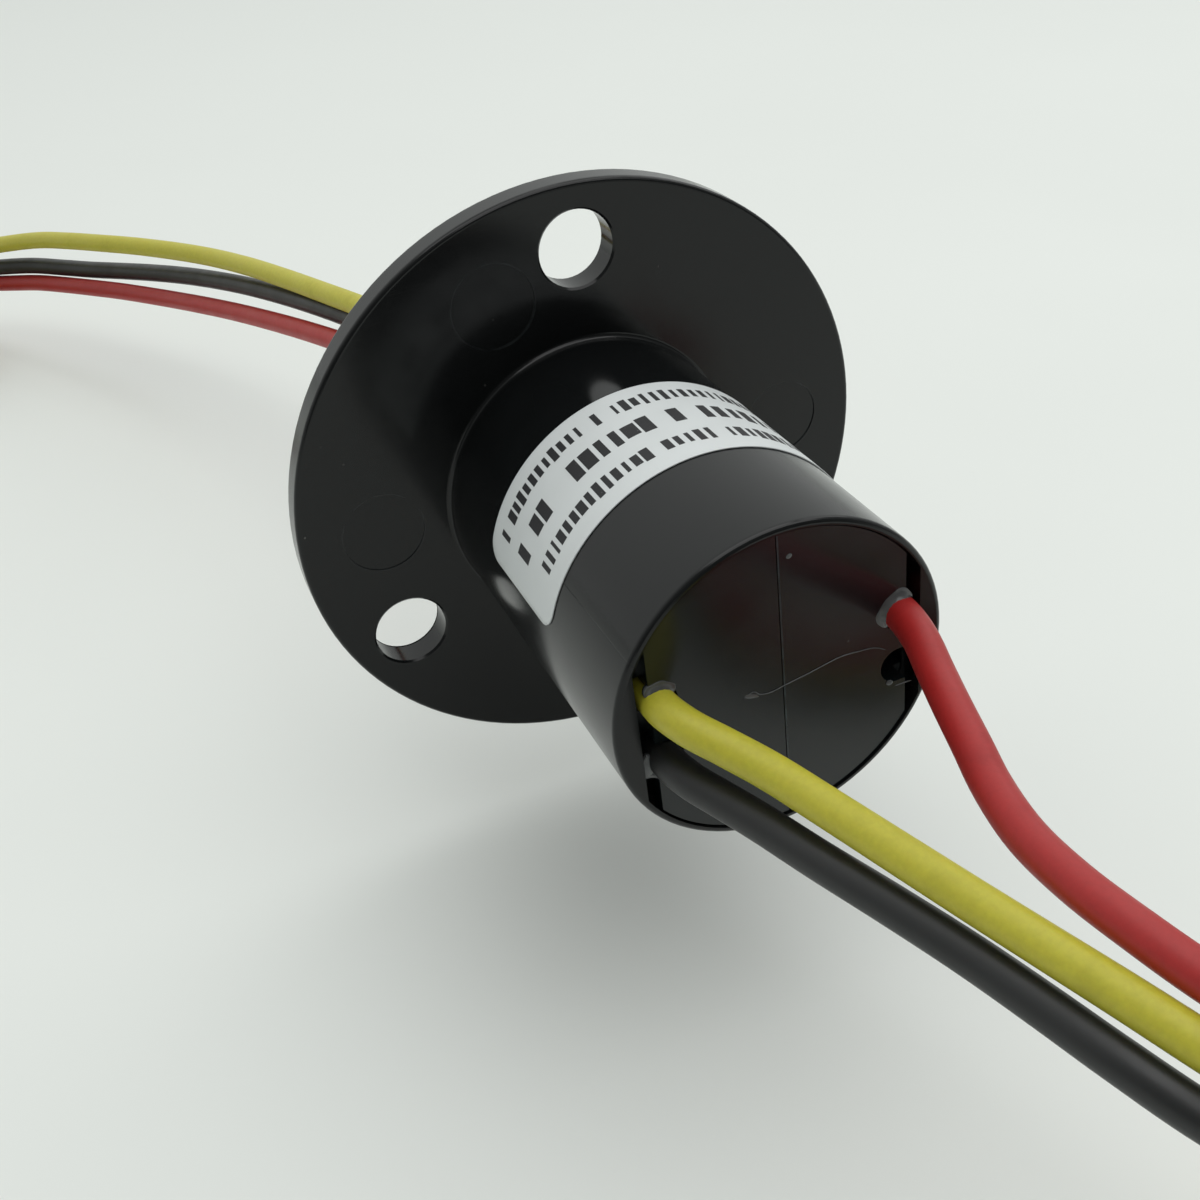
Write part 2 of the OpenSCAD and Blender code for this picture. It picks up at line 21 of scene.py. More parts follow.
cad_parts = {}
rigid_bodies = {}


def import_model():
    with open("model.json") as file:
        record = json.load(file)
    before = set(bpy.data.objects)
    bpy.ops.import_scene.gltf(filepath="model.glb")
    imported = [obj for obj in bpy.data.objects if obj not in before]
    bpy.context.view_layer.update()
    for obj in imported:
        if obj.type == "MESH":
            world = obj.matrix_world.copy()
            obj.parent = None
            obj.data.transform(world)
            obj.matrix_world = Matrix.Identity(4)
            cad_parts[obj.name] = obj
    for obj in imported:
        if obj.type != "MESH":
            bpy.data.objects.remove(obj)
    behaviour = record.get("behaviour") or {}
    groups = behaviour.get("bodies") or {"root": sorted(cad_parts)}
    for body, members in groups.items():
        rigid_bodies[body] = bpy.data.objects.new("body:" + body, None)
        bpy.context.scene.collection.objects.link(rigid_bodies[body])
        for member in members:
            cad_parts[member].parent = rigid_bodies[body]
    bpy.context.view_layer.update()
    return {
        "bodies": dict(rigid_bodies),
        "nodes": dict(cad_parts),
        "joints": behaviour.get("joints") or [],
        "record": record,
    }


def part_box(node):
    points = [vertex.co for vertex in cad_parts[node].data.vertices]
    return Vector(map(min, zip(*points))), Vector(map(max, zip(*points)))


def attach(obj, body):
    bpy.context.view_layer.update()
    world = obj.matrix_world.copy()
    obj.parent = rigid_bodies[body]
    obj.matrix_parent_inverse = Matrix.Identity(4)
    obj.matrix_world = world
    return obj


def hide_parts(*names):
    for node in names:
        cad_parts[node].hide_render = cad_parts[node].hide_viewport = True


LOG = logging.getLogger("slip_ring")
MM = 0.001
BARREL_R = 11.0
GROUND_Z = -30.0
WIRE_D = 2.2
COIL_ROWS = 3
COVER_TURN = 4.0
PLATE_Y = -28.1
NOSE_Y = 6.2
NOTCH_X = 8.0
NOTCH_Z = 2.05
BUNDLE_R = (WIRE_D + 0.1) / math.sqrt(3)

Colour = tuple[float, float, float]
Place = tuple[float, float, float]


class Body(Enum):
    """The two bodies that visual pieces ride on."""

    STATOR = "stator"
    ROTOR = "rotor"


class Circuit(Enum):
    """The three circuits, named by the colour of their wires."""

    YELLOW = "yellow"
    BLACK = "black"
    RED = "red"


def mm(*values: float) -> Vector:
    """Returns a place given in millimetres as a vector in metres."""
    return Vector(values) * MM


# ---------------------------------------------------------------- node helpers


class Nodes:
    """Short ways to add and join nodes in any node tree."""

    def __init__(self, tree: bpy.types.NodeTree) -> None:
        """Takes the tree to build in.

        Args:
            tree: a node tree.
        """
        self.tree = tree

    def add(self, kind: str, *feeds: object, **settings: object) -> bpy.types.Node:
        """Adds a node, feeds its first sockets and sets its properties.

        Args:
            kind: the node's type.
            feeds: sockets or values for its first inputs, in order.
            settings: property names and values.

        Returns:
            The new node.
        """
        made = self.tree.nodes.new(kind)
        for key, value in settings.items():
            setattr(made, key, value)
        for target, value in zip(made.inputs, feeds):
            self.feed(target, value)
        return made

    def link(self, source: bpy.types.NodeSocket, target: bpy.types.NodeSocket) -> None:
        """Joins two sockets."""
        self.tree.links.new(source, target)

    def feed(self, target: bpy.types.NodeSocket, value: object) -> None:
        """Links a socket to the target, or sets the target's own value, a colour without alpha too."""
        if isinstance(value, bpy.types.NodeSocket):
            self.link(value, target)
        elif target.type == "RGBA":
            target.default_value = (*value, 1.0)
        else:
            target.default_value = value

    def split(self, vector: bpy.types.NodeSocket) -> bpy.types.NodeOutputs:
        """Returns the three numbers of a vector as sockets."""
        return self.add("ShaderNodeSeparateXYZ", vector).outputs

    def join(self, *parts: object) -> bpy.types.NodeSocket:
        """Returns a vector from three sockets or numbers."""
        return self.add("ShaderNodeCombineXYZ", *parts).outputs[0]

    def math(self, operation: str, first: object, second: object = 0.0) -> bpy.types.NodeSocket:
        """One step of arithmetic between sockets or numbers."""
        return self.add("ShaderNodeMath", first, second, operation=operation).outputs[0]

    def span(self, value: bpy.types.NodeSocket, low: float, high: float,
             to_low: float = 0.0, to_high: float = 1.0, kind: str = "LINEAR") -> bpy.types.NodeSocket:
        """Maps a range of a value onto another range, clamped at its ends.

        Args:
            value: the value.
            low: start of its range.
            high: end of its range.
            to_low: what the start becomes.
            to_high: what the end becomes.
            kind: the kind of interpolation.

        Returns:
            The mapped value.
        """
        made = self.add("ShaderNodeMapRange", value, low, high, to_low, to_high,
                        interpolation_type=kind, clamp=True)
        return made.outputs["Result"]


class Shader(Nodes):
    """The node tree of one procedural material, on Object coordinates in millimetres."""

    def __init__(self, name: str) -> None:
        """Starts a material with an empty tree and one principled surface.

        Args:
            name: name of the material.
        """
        self.material = bpy.data.materials.new(name)
        self.material.use_nodes = True
        super().__init__(self.material.node_tree)
        self.tree.nodes.clear()
        output = self.add("ShaderNodeOutputMaterial")
        self.surface = self.add("ShaderNodeBsdfPrincipled")
        self.link(self.surface.outputs[0], output.inputs["Surface"])

    def place(self, scale: Place = (1, 1, 1), turn: Place = (0, 0, 0)) -> bpy.types.NodeSocket:
        """Object coordinates in millimetres.

        Args:
            scale: stretch of the pattern along each axis, as a density.
            turn: turn of the pattern in degrees.

        Returns:
            The vector socket.
        """
        source = self.add("ShaderNodeTexCoord").outputs["Object"]
        mapping = self.add("ShaderNodeMapping")
        mapping.inputs["Scale"].default_value = [s / MM for s in scale]
        mapping.inputs["Rotation"].default_value = [math.radians(a) for a in turn]
        self.link(source, mapping.inputs["Vector"])
        return mapping.outputs["Vector"]

    def cloud(self, place: bpy.types.NodeSocket, per_mm: float, detail: float = 2.0,
              harshness: float = 0.5) -> bpy.types.NodeSocket:
        """Noise from 0 to 1 with the given density per millimetre."""
        made = self.add("ShaderNodeTexNoise")
        self.link(place, made.inputs["Vector"])
        made.inputs["Scale"].default_value = per_mm
        made.inputs["Detail"].default_value = detail
        made.inputs["Roughness"].default_value = harshness
        return made.outputs[0]

    def specks(self, place: bpy.types.NodeSocket, per_mm: float, size: float) -> bpy.types.NodeSocket:
        """Small round specks, 1 in their middle and 0 outside, size in shares of the spacing."""
        made = self.add("ShaderNodeTexVoronoi", feature="F1")
        self.link(place, made.inputs["Vector"])
        made.inputs["Scale"].default_value = per_mm
        return self.span(made.outputs["Distance"], size * 0.6, size, 1.0, 0.0)

    def blend(self, share: object, first: object, second: object) -> bpy.types.NodeSocket:
        """Mixes two colours by a share.

        Args:
            share: socket or number from 0 to 1.
            first: colour or socket at share 0.
            second: colour or socket at share 1.

        Returns:
            The colour socket.
        """
        made = self.add("ShaderNodeMix", data_type="RGBA")
        for place, value in zip((0, 6, 7), (share, first, second)):
            self.feed(made.inputs[place], value)
        return made.outputs[2]

    def mottle(self, pattern: bpy.types.NodeSocket, low: float, high: float,
               first: object, second: object) -> bpy.types.NodeSocket:
        """Mixes two colours where a pattern goes from low to high."""
        return self.blend(self.span(pattern, low, high), first, second)

    def bump(self, height: bpy.types.NodeSocket, depth: float,
             below: Optional[bpy.types.NodeSocket] = None) -> bpy.types.NodeSocket:
        """Turns a height from 0 to 1 into a normal.

        Args:
            height: the height pattern.
            depth: height of its full range in millimetres.
            below: normal of a coarser bump under it.

        Returns:
            The normal socket.
        """
        made = self.add("ShaderNodeBump")
        made.inputs["Distance"].default_value = depth * MM
        self.link(height, made.inputs["Height"])
        if below is not None:
            self.link(below, made.inputs["Normal"])
        return made.outputs["Normal"]

    def set(self, **values: object) -> None:
        """Sets or links the principled surface's sockets, with _ for a space in a name."""
        for key, value in values.items():
            self.feed(self.surface.inputs[key.replace("_", " ")], value)


# ---------------------------------------------------------------- finishes


def tinted(colour: Colour, factor: float) -> Colour:
    """Returns a colour made lighter or darker by a factor."""
    return tuple(min(1.0, c * factor) for c in colour)


@dataclass(frozen=True)
class Finish:
    """One procedural finish.

    Attributes:
        name: name of the material.
        colour: base colour.
    """

    name: str
    colour: Colour

    def dress(self, shader: Shader) -> None:
        """Builds the finish.

        Args:
            shader: the tree to build in.
        """
        raise NotImplementedError

    def build(self) -> bpy.types.Material:
        """Returns the finished material."""
        shader = Shader(self.name)
        self.dress(shader)
        return shader.material


@dataclass(frozen=True)
class Moulding(Finish):
    """Moulded plastic with handling marks.

    Attributes:
        roughness: roughness where it is clean.
        smudge: extra roughness in the handled patches.
        peel: depth of the moulded skin's waviness in millimetres.
        dust: share of dust that shows, from 0 to 1.
    """

    roughness: float
    smudge: float = 0.08
    peel: float = 0.004
    dust: float = 0.3

    def skin(self, shader: Shader) -> tuple[bpy.types.NodeSocket, bpy.types.NodeSocket]:
        """Builds colour and normal.

        Args:
            shader: the tree to build in.

        Returns:
            The colour socket and the normal socket.
        """
        place = shader.place()
        patch = shader.cloud(place, 0.12, 3, 0.6)
        specks = shader.math("MULTIPLY", shader.specks(place, 0.55, 0.055),
                             shader.span(patch, 0.5, 0.6, 0.0, self.dust))
        toned = shader.mottle(patch, 0.3, 0.7, tinted(self.colour, 0.9), tinted(self.colour, 1.15))
        colour = shader.blend(specks, toned, (0.3, 0.3, 0.28))
        lines = shader.cloud(shader.place((0.25, 9, 9), (0, 20, 35)), 1.0, 2, 0.6)
        smear = shader.math("ADD", shader.span(patch, 0.4, 0.75, 0.0, self.smudge),
                            shader.span(lines, 0.6, 0.75, 0.0, self.smudge * 0.6))
        shader.set(Roughness=shader.math("ADD", smear, self.roughness))
        peel = shader.bump(shader.cloud(place, 0.5, 2, 0.4), self.peel)
        return colour, shader.bump(shader.span(lines, 0.64, 0.72), 0.0004, peel)

    def dress(self, shader: Shader) -> None:
        """Builds the finish."""
        colour, normal = self.skin(shader)
        shader.set(Base_Color=colour, Normal=normal, IOR=1.5)


@dataclass(frozen=True)
class HousingMoulding(Moulding):
    """The housing's polished moulding, with the mould's parting line along the barrel.

    Attributes:
        seam_angle: place of the parting line round the axis in degrees.
        seam_from: distance behind the flange where the line starts.
        seam_w: width of the line in millimetres.
        pin_angles: places of the pin marks on the flange, in degrees.
        pin_circle_r: distance of their middles from the axis.
        pin_r: radius of a mark.
    """

    seam_angle: float = 153.5
    seam_from: float = 19.2
    seam_w: float = 0.07
    pin_angles: tuple[float, ...] = (3.0, 113.0, 180.0)
    pin_circle_r: float = 16.1
    pin_r: float = 3.0

    def pin_ring_highlights(self, shader: Shader, x: bpy.types.NodeSocket,
                  z: bpy.types.NodeSocket) -> bpy.types.NodeSocket:
        """Painted highlight along the edges of the marks that the mould's pins leave on the flange, broken
        up by noise.

        Args:
            shader: the tree to build in.
            x: place across, in millimetres.
            z: place up, in millimetres.

        Returns:
            The share of the painted highlight, from 0 to 1.
        """
        wear_and_highlight_breakup = shader.span(shader.cloud(shader.place(), 0.35, 2, 0.6), 0.4, 0.6, 0.2, 1.0)
        ring_highlights: object = 0.0
        for angle in self.pin_angles:
            pin_x, pin_z = polar(self.pin_circle_r, angle)
            across, up = shader.math("SUBTRACT", x, pin_x), shader.math("SUBTRACT", z, pin_z)
            apart = shader.math("SQRT", shader.math(
                "ADD", shader.math("MULTIPLY", across, across), shader.math("MULTIPLY", up, up)))
            away = shader.math("ABSOLUTE", shader.math("SUBTRACT", apart, self.pin_r))
            ring_highlights = shader.math("ADD", ring_highlights, shader.span(away, 0.03, 0.1, 1.0, 0.0))
        return shader.math("MULTIPLY", ring_highlights, wear_and_highlight_breakup)

    def dress(self, shader: Shader) -> None:
        """Builds the finish."""
        colour, normal = self.skin(shader)
        x, y, z = shader.split(shader.place())
        angle = shader.math("ARCTAN2", z, x)
        away = shader.math("ABSOLUTE", shader.math("SUBTRACT", angle, math.radians(self.seam_angle)))
        half = self.seam_w / BARREL_R / 2
        line = shader.span(away, half * 0.5, half, 1.0, 0.0)
        reach = shader.span(y, -self.seam_from - 5.5, -self.seam_from, 0.15, 1.0)
        barrel = shader.span(y, -self.seam_from, -self.seam_from + 0.2, 1.0, 0.0)
        mark = shader.math("MULTIPLY", line, shader.math("MULTIPLY", reach, barrel))
        # Painted highlight on the pin marks' edges, only on the flange's face: the colour is made 3.2 times
        # lighter there.
        near = shader.math("MULTIPLY", shader.span(y, -1.0, -0.5, 0.0, 1.0), self.pin_ring_highlights(shader, x, z))
        colour = shader.blend(near, colour, tinted(self.colour, 3.2))
        shader.set(Base_Color=shader.blend(mark, colour, tinted(self.colour, 0.2)),
                   Normal=shader.bump(shader.math("SUBTRACT", 1.0, mark), 0.03, normal), IOR=1.38)


@dataclass(frozen=True)
class CoverMoulding(Moulding):
    """The end plates' polished moulding, with a painted highlight beside the seam.

    Attributes:
        turn: turn of the seam about the axis in degrees.
        edge: distance of the painted highlight from the seam and its width, in millimetres.
    """

    turn: float = COVER_TURN
    edge: tuple[float, float] = (0.1, 0.07)

    def dress(self, shader: Shader) -> None:
        """Builds the finish."""
        colour, normal = self.skin(shader)
        x, _, z = shader.split(shader.place(turn=(0, self.turn, 0)))
        # Painted highlight: a thin line beside the seam, broken up by noise and made 4.5 times lighter.
        middle, width = self.edge
        away = shader.math("ABSOLUTE", shader.math("SUBTRACT", x, middle))
        wear_and_highlight_breakup = shader.span(shader.cloud(shader.place(), 0.8, 2, 0.6), 0.42, 0.55, 0.25, 1.0)
        line = shader.math("MULTIPLY", shader.span(away, width * 0.4, width, 1.0, 0.0), wear_and_highlight_breakup)
        # The plates are made lighter and cloudy towards their top, from 6.6 to 8.2 mm up.
        film = shader.math("MULTIPLY", shader.span(z, 6.6, 8.2, 0.0, 0.6),
                           shader.span(shader.cloud(shader.place(), 0.3, 2, 0.5), 0.4, 0.6, 0.3, 1.0))
        toned = shader.blend(film, colour, tinted(self.colour, 1.7))
        shader.set(Base_Color=shader.blend(line, toned, tinted(self.colour, 4.5)), Normal=normal,
                   IOR=1.45)


@dataclass(frozen=True)
class Insulation(Finish):
    """Smooth extruded wire insulation.

    Attributes:
        roughness: roughness of the clean skin.
        grime: strength of the darker handling marks.
    """

    roughness: float = 0.42
    grime: float = 0.25

    def dress(self, shader: Shader) -> None:
        """Builds the finish."""
        place = shader.place()
        patch = shader.cloud(place, 0.25, 4, 0.6)
        fine = shader.cloud(place, 3.0, 3, 0.6)
        tone = shader.mottle(fine, 0.3, 0.7, tinted(self.colour, 0.93), tinted(self.colour, 1.05))
        marks = shader.span(patch, 0.56, 0.72, 0.0, self.grime)
        shader.set(Base_Color=shader.blend(marks, tone, tinted(self.colour, 0.55)),
                   Roughness=shader.span(patch, 0.35, 0.7, self.roughness, self.roughness + 0.12),
                   Normal=shader.bump(shader.cloud(place, 1.2, 3, 0.5), 0.012), IOR=1.47,
                   Subsurface_Weight=0.08, Subsurface_Scale=0.0006)


@dataclass(frozen=True)
class TurnedMetal(Finish):
    """Metal turned or ground about the axis, with fine concentric tool marks.

    Attributes:
        roughness: roughness between the marks.
        marks_per_mm: tool marks on a millimetre.
    """

    roughness: float
    marks_per_mm: float = 14.0

    def dress(self, shader: Shader) -> None:
        """Builds the finish."""
        marks = shader.cloud(shader.place((0.3, self.marks_per_mm, 0.3)), 1.0, 2, 0.5)
        patch = shader.cloud(shader.place(), 0.6, 3, 0.6)
        shader.set(Base_Color=shader.mottle(patch, 0.35, 0.7, self.colour, tinted(self.colour, 0.8)),
                   Roughness=shader.span(marks, 0.3, 0.7, self.roughness, self.roughness + 0.12),
                   Normal=shader.bump(marks, 0.002), Metallic=1.0)


@dataclass(frozen=True)
class Film(Finish):
    """White satin label film."""

    roughness: float = 0.38

    def dress(self, shader: Shader) -> None:
        """Builds the finish."""
        place = shader.place()
        cloudy = shader.cloud(place, 0.35, 3, 0.5)
        shader.set(Base_Color=shader.mottle(cloudy, 0.3, 0.7, tinted(self.colour, 0.965), self.colour),
                   Roughness=shader.span(cloudy, 0.3, 0.7, self.roughness, self.roughness + 0.06),
                   Normal=shader.bump(shader.cloud(place, 0.8, 3, 0.5), 0.004), IOR=1.5)


@dataclass(frozen=True)
class Ink(Finish):
    """Thermal print on the film, a little worn through."""

    film: Colour

    def dress(self, shader: Shader) -> None:
        """Builds the finish."""
        wear_and_highlight_breakup = shader.cloud(shader.place(), 5.0, 3, 0.7)
        shader.set(Base_Color=shader.blend(shader.span(wear_and_highlight_breakup, 0.66, 0.78, 0.0, 0.5), self.colour, self.film),
                   Roughness=shader.span(wear_and_highlight_breakup, 0.3, 0.7, 0.5, 0.6), IOR=1.5)


@dataclass(frozen=True)
class ClearResin(Finish):
    """Set adhesive: clear, faintly milky, with small inner clouds."""

    clearness: float = 0.75

    def dress(self, shader: Shader) -> None:
        """Builds the finish."""
        milky = shader.cloud(shader.place(), 1.6, 3, 0.6)
        shader.set(Base_Color=shader.mottle(milky, 0.35, 0.7, self.colour, tinted(self.colour, 0.8)),
                   Roughness=shader.span(milky, 0.3, 0.7, 0.12, 0.25),
                   Normal=shader.bump(milky, 0.02), Transmission_Weight=self.clearness, IOR=1.48)


@dataclass(frozen=True)
class Nylon(Finish):
    """Natural nylon of the wire ties."""


    def dress(self, shader: Shader) -> None:
        """Builds the finish."""
        grain = shader.cloud(shader.place(), 4.0, 3, 0.6)
        shader.set(Base_Color=shader.mottle(grain, 0.3, 0.7, tinted(self.colour, 0.92), self.colour),
                   Roughness=shader.span(grain, 0.3, 0.7, 0.4, 0.5),
                   Normal=shader.bump(grain, 0.006), Subsurface_Weight=0.15, Subsurface_Scale=0.0008)


BLACK_PLASTIC: Colour = (0.0055, 0.0062, 0.0064)
COVER_BLACK: Colour = (0.0065, 0.0095, 0.0105)
LABEL_WHITE: Colour = (0.66, 0.69, 0.69)


@dataclass
class Finishes:
    """Every finish of the object, built once and found by the record's slot."""

    by_slot: dict[str, bpy.types.Material] = field(default_factory=dict)
    ink: Optional[bpy.types.Material] = None
    tinned: Optional[bpy.types.Material] = None
    haze: Optional[bpy.types.Material] = None
    cover: Optional[bpy.types.Material] = None

    def build(self) -> None:
        """Builds the materials."""
        finishes = {
            "housing_plastic": HousingMoulding("housing_plastic", BLACK_PLASTIC, 0.14),
            "rotor_plastic": Moulding("rotor_plastic", (0.016, 0.016, 0.018), 0.36, dust=0.1),
            "insulator": Moulding("insulator", (0.024, 0.034, 0.034), 0.42, dust=0.1),
            "bearing_steel": TurnedMetal("bearing_steel", (0.62, 0.62, 0.61), 0.16),
            "ring_brass": TurnedMetal("ring_brass", (0.80, 0.60, 0.26), 0.2),
            "brush_wire": TurnedMetal("brush_wire", (0.92, 0.70, 0.30), 0.22, 6.0),
            "label_paper": Film("label_paper", LABEL_WHITE),
            "seal_resin": ClearResin("seal_resin", (0.82, 0.82, 0.76)),
            "wire_yellow": Insulation("wire_yellow", (0.49, 0.45, 0.035)),
            "wire_black": Insulation("wire_black", (0.013, 0.0135, 0.0135), 0.38, 0.1),
            "wire_red": Insulation("wire_red", (0.37, 0.016, 0.015)),
            "tie_nylon": Nylon("tie_nylon", (0.72, 0.72, 0.68)),
        }
        self.by_slot = {slot: finish.build() for slot, finish in finishes.items()}
        self.cover = CoverMoulding("cover_plastic", COVER_BLACK, 0.17, smudge=0.06, peel=0.003).build()
        self.ink = Ink("label_ink", (0.014, 0.014, 0.016), LABEL_WHITE).build()
        self.tinned = TurnedMetal("tinned_copper", (0.66, 0.65, 0.62), 0.3, 5.0).build()
        self.haze = ClearResin("resin_smear", (0.13, 0.137, 0.14), 0.4).build()

    def dress_cad(self, frame: dict) -> None:
        """Gives every CAD node the finish of its slot in the record.
        """
        for part in frame["record"]["subparts"]:
            node = frame["nodes"][part["node"]]
            node.data.materials.clear()
            own = self.cover if part["node"].startswith("cover_") else None
            node.data.materials.append(own or self.by_slot[part["material_slot"]])


# ---------------------------------------------------------------- mesh helpers


def new_piece(name: str, data: bpy.types.ID, body: Body, material: bpy.types.Material) -> bpy.types.Object:
    """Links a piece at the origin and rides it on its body.

    Args:
        name: name of the piece.
        data: its mesh or curve.
        body: the body that it rides on.
        material: its finish.

    Returns:
        The piece.
    """
    piece = show(name, data)
    if not data.materials:
        data.materials.append(material)
    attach(piece, body.value)
    LOG.info("%s rides on %s", name, body.value)
    return piece


def show(name: str, data: bpy.types.ID) -> bpy.types.Object:
    """Returns a new object of the scene that holds the data."""
    made = bpy.data.objects.new(name, data)
    bpy.context.scene.collection.objects.link(made)
    return made


def polar(radius: float, angle: float) -> tuple[float, float]:
    """Returns the two sides of a place given by its radius and its angle in degrees."""
    return radius * math.cos(math.radians(angle)), radius * math.sin(math.radians(angle))


def bridge(build: bmesh.types.BMesh, ring_highlights: Sequence[Sequence[bmesh.types.BMVert]],
           closed: bool = True, capped: bool = False) -> None:
    """Joins rows of corners with faces.

    Args:
        build: the mesh.
        ring_highlights: rows of corners, all of one length.
        closed: whether each row is a ring.
        capped: whether the first and the last ring are closed by a face.
    """
    count = len(ring_highlights[0])
    for low, high in zip(ring_highlights, ring_highlights[1:]):
        for k in range(count if closed else count - 1):
            n = (k + 1) % count
            build.faces.new((low[k], low[n], high[n], high[k]))
    if capped:
        build.faces.new(ring_highlights[0])
        build.faces.new(list(reversed(ring_highlights[-1])))


def smooth_mesh(name: str, build: bmesh.types.BMesh) -> bpy.types.Mesh:
    """Closes a bmesh into a smooth-shaded mesh whose faces point outwards."""
    bmesh.ops.recalc_face_normals(build, faces=build.faces)
    data = bpy.data.meshes.new(name)
    build.to_mesh(data)
    build.free()
    data.shade_smooth()
    return data


def plain_mesh(piece: bpy.types.Object, name: str) -> bpy.types.Mesh:
    """Turns an object with modifiers into a plain mesh and removes the object.

    Args:
        piece: the object with its modifiers.
        name: name of the new mesh.

    Returns:
        The evaluated mesh.
    """
    graph = bpy.context.evaluated_depsgraph_get()
    data = bpy.data.meshes.new_from_object(piece.evaluated_get(graph), depsgraph=graph)
    data.name = name
    bpy.data.objects.remove(piece)
    return data


def tube_rings(points: Sequence[Vector], radius: Callable[[float, float], float],
               sides: int) -> bmesh.types.BMesh:
    """Sweeps a closed tube along points.

    Args:
        points: the middle line.
        radius: radius at a share of the length and an angle round the line.
        sides: corners of one ring.

    Returns:
        The tube, closed by a fan at each end.
    """
    build = bmesh.new()
    ring_highlights = []
    side = None
    for i, point in enumerate(points):
        way = (points[min(i + 1, len(points) - 1)] - points[max(i - 1, 0)]).normalized()
        side = way.orthogonal() if side is None else side - way * side.dot(way)
        side.normalize()
        over = way.cross(side)
        share = i / (len(points) - 1)
        ring = []
        for k in range(sides):
            a = 2 * math.pi * k / sides
            out = side * math.cos(a) + over * math.sin(a)
            ring.append(build.verts.new(point + out * radius(share, a)))
        ring_highlights.append(ring)
    bridge(build, ring_highlights)
    for ring, point in ((ring_highlights[0], points[0]), (ring_highlights[-1], points[-1])):
        tip = build.verts.new(point)
        for k in range(sides):
            build.faces.new((ring[k], ring[(k + 1) % sides], tip))
    return build


def headings(points: Sequence[Vector], first: Vector) -> list[Vector]:
    """Way of a smooth curve at each of its points, weighted by the stretches beside it.

    Args:
        points: points that the curve passes.
        first: its way at the first point.

    Returns:
        One way for each point.
    """
    steps = [b - a for a, b in zip(points, points[1:])]
    inner = [(a.normalized() * b.length + b.normalized() * a.length) / (a.length + b.length)
             for a, b in zip(steps, steps[1:])]
    return [first, *inner, steps[-1].normalized()]


def smooth_line(points: Sequence[Vector], first: Vector, steps: int) -> list[Vector]:
    """Points on the smooth curve through the given ones.

    Args:
        points: points that the curve passes.
        first: its way at the first point.
        steps: parts that each stretch is cut into.

    Returns:
        The denser list of points.
    """
    ways = headings(points, first)
    dense = []
    for a, d, way_a, way_d in zip(points, points[1:], ways, ways[1:]):
        third = (d - a).length / 3
        b, c = a + way_a * third, d - way_d * third
        for k in range(steps):
            t = k / steps
            dense.append(a * (1 - t) ** 3 + b * 3 * t * (1 - t) ** 2
                         + c * 3 * t * t * (1 - t) + d * t ** 3)
    return [*dense, points[-1].copy()]


def run_length(points: Sequence[Vector]) -> float:
    """Returns the length of a line through points."""
    return sum((b - a).length for a, b in zip(points, points[1:]))


# ---------------------------------------------------------------- lead wires


def level(row: int) -> float:
    """Height of a wire's middle in a row of the coil, counted from the ground."""
    return GROUND_Z + WIRE_D * (row + 0.5)


@dataclass(frozen=True)
class WoundCoil:
    """Remainder of three wires wound flat on the ground, one level for each wire.

    Attributes:
        name: name of the coil.
        centre: its middle on the ground.
        entry_r: radius at which the wires come in.
        entry_angle: angle of the point where they come in, in degrees.
        mean_r: radius of the middle of its turns.
        tie_angle: place of its tie in degrees.
        columns: turns side by side.
    """

    name: str
    centre: tuple[float, float]
    entry_r: float
    entry_angle: float
    tie_angle: float
    columns: int
    mean_r: float = 11.6
    steps: int = 24

    def meet(self, angle: float, out: float, rise: float) -> Place:
        """Last point of a wire's route beside the coil, before it lies on its level.

        Args:
            angle: angle about the coil's middle, in degrees.
            out: distance past the coil's outer side.
            rise: height in wire diameters.

        Returns:
            The place in millimetres.
        """
        x, y = polar(self.mean_r + self.columns * WIRE_D / 2 + out, angle)
        return (self.centre[0] + x, self.centre[1] + y, GROUND_Z + rise * WIRE_D)

    def turns(self, row: int, length: float) -> list[Vector]:
        """Points of one wire's flat spiral, from its entry inwards.

        Args:
            row: level of the wire, counted from the ground.
            length: length of wire to wind, in millimetres.

        Returns:
            Points in millimetres.
        """
        points = []
        wound = 0.0
        turn = 0
        while True:
            radius = self.entry_r - WIRE_D * turn / self.steps
            angle = math.radians(self.entry_angle) + 2 * math.pi * turn / self.steps
            step = radius * 2 * math.pi / self.steps
            points.append(Vector((self.centre[0] + radius * math.cos(angle),
                                  self.centre[1] + radius * math.sin(angle), level(row))))
            if wound + step > length:
                return points
            wound += step
            turn += 1


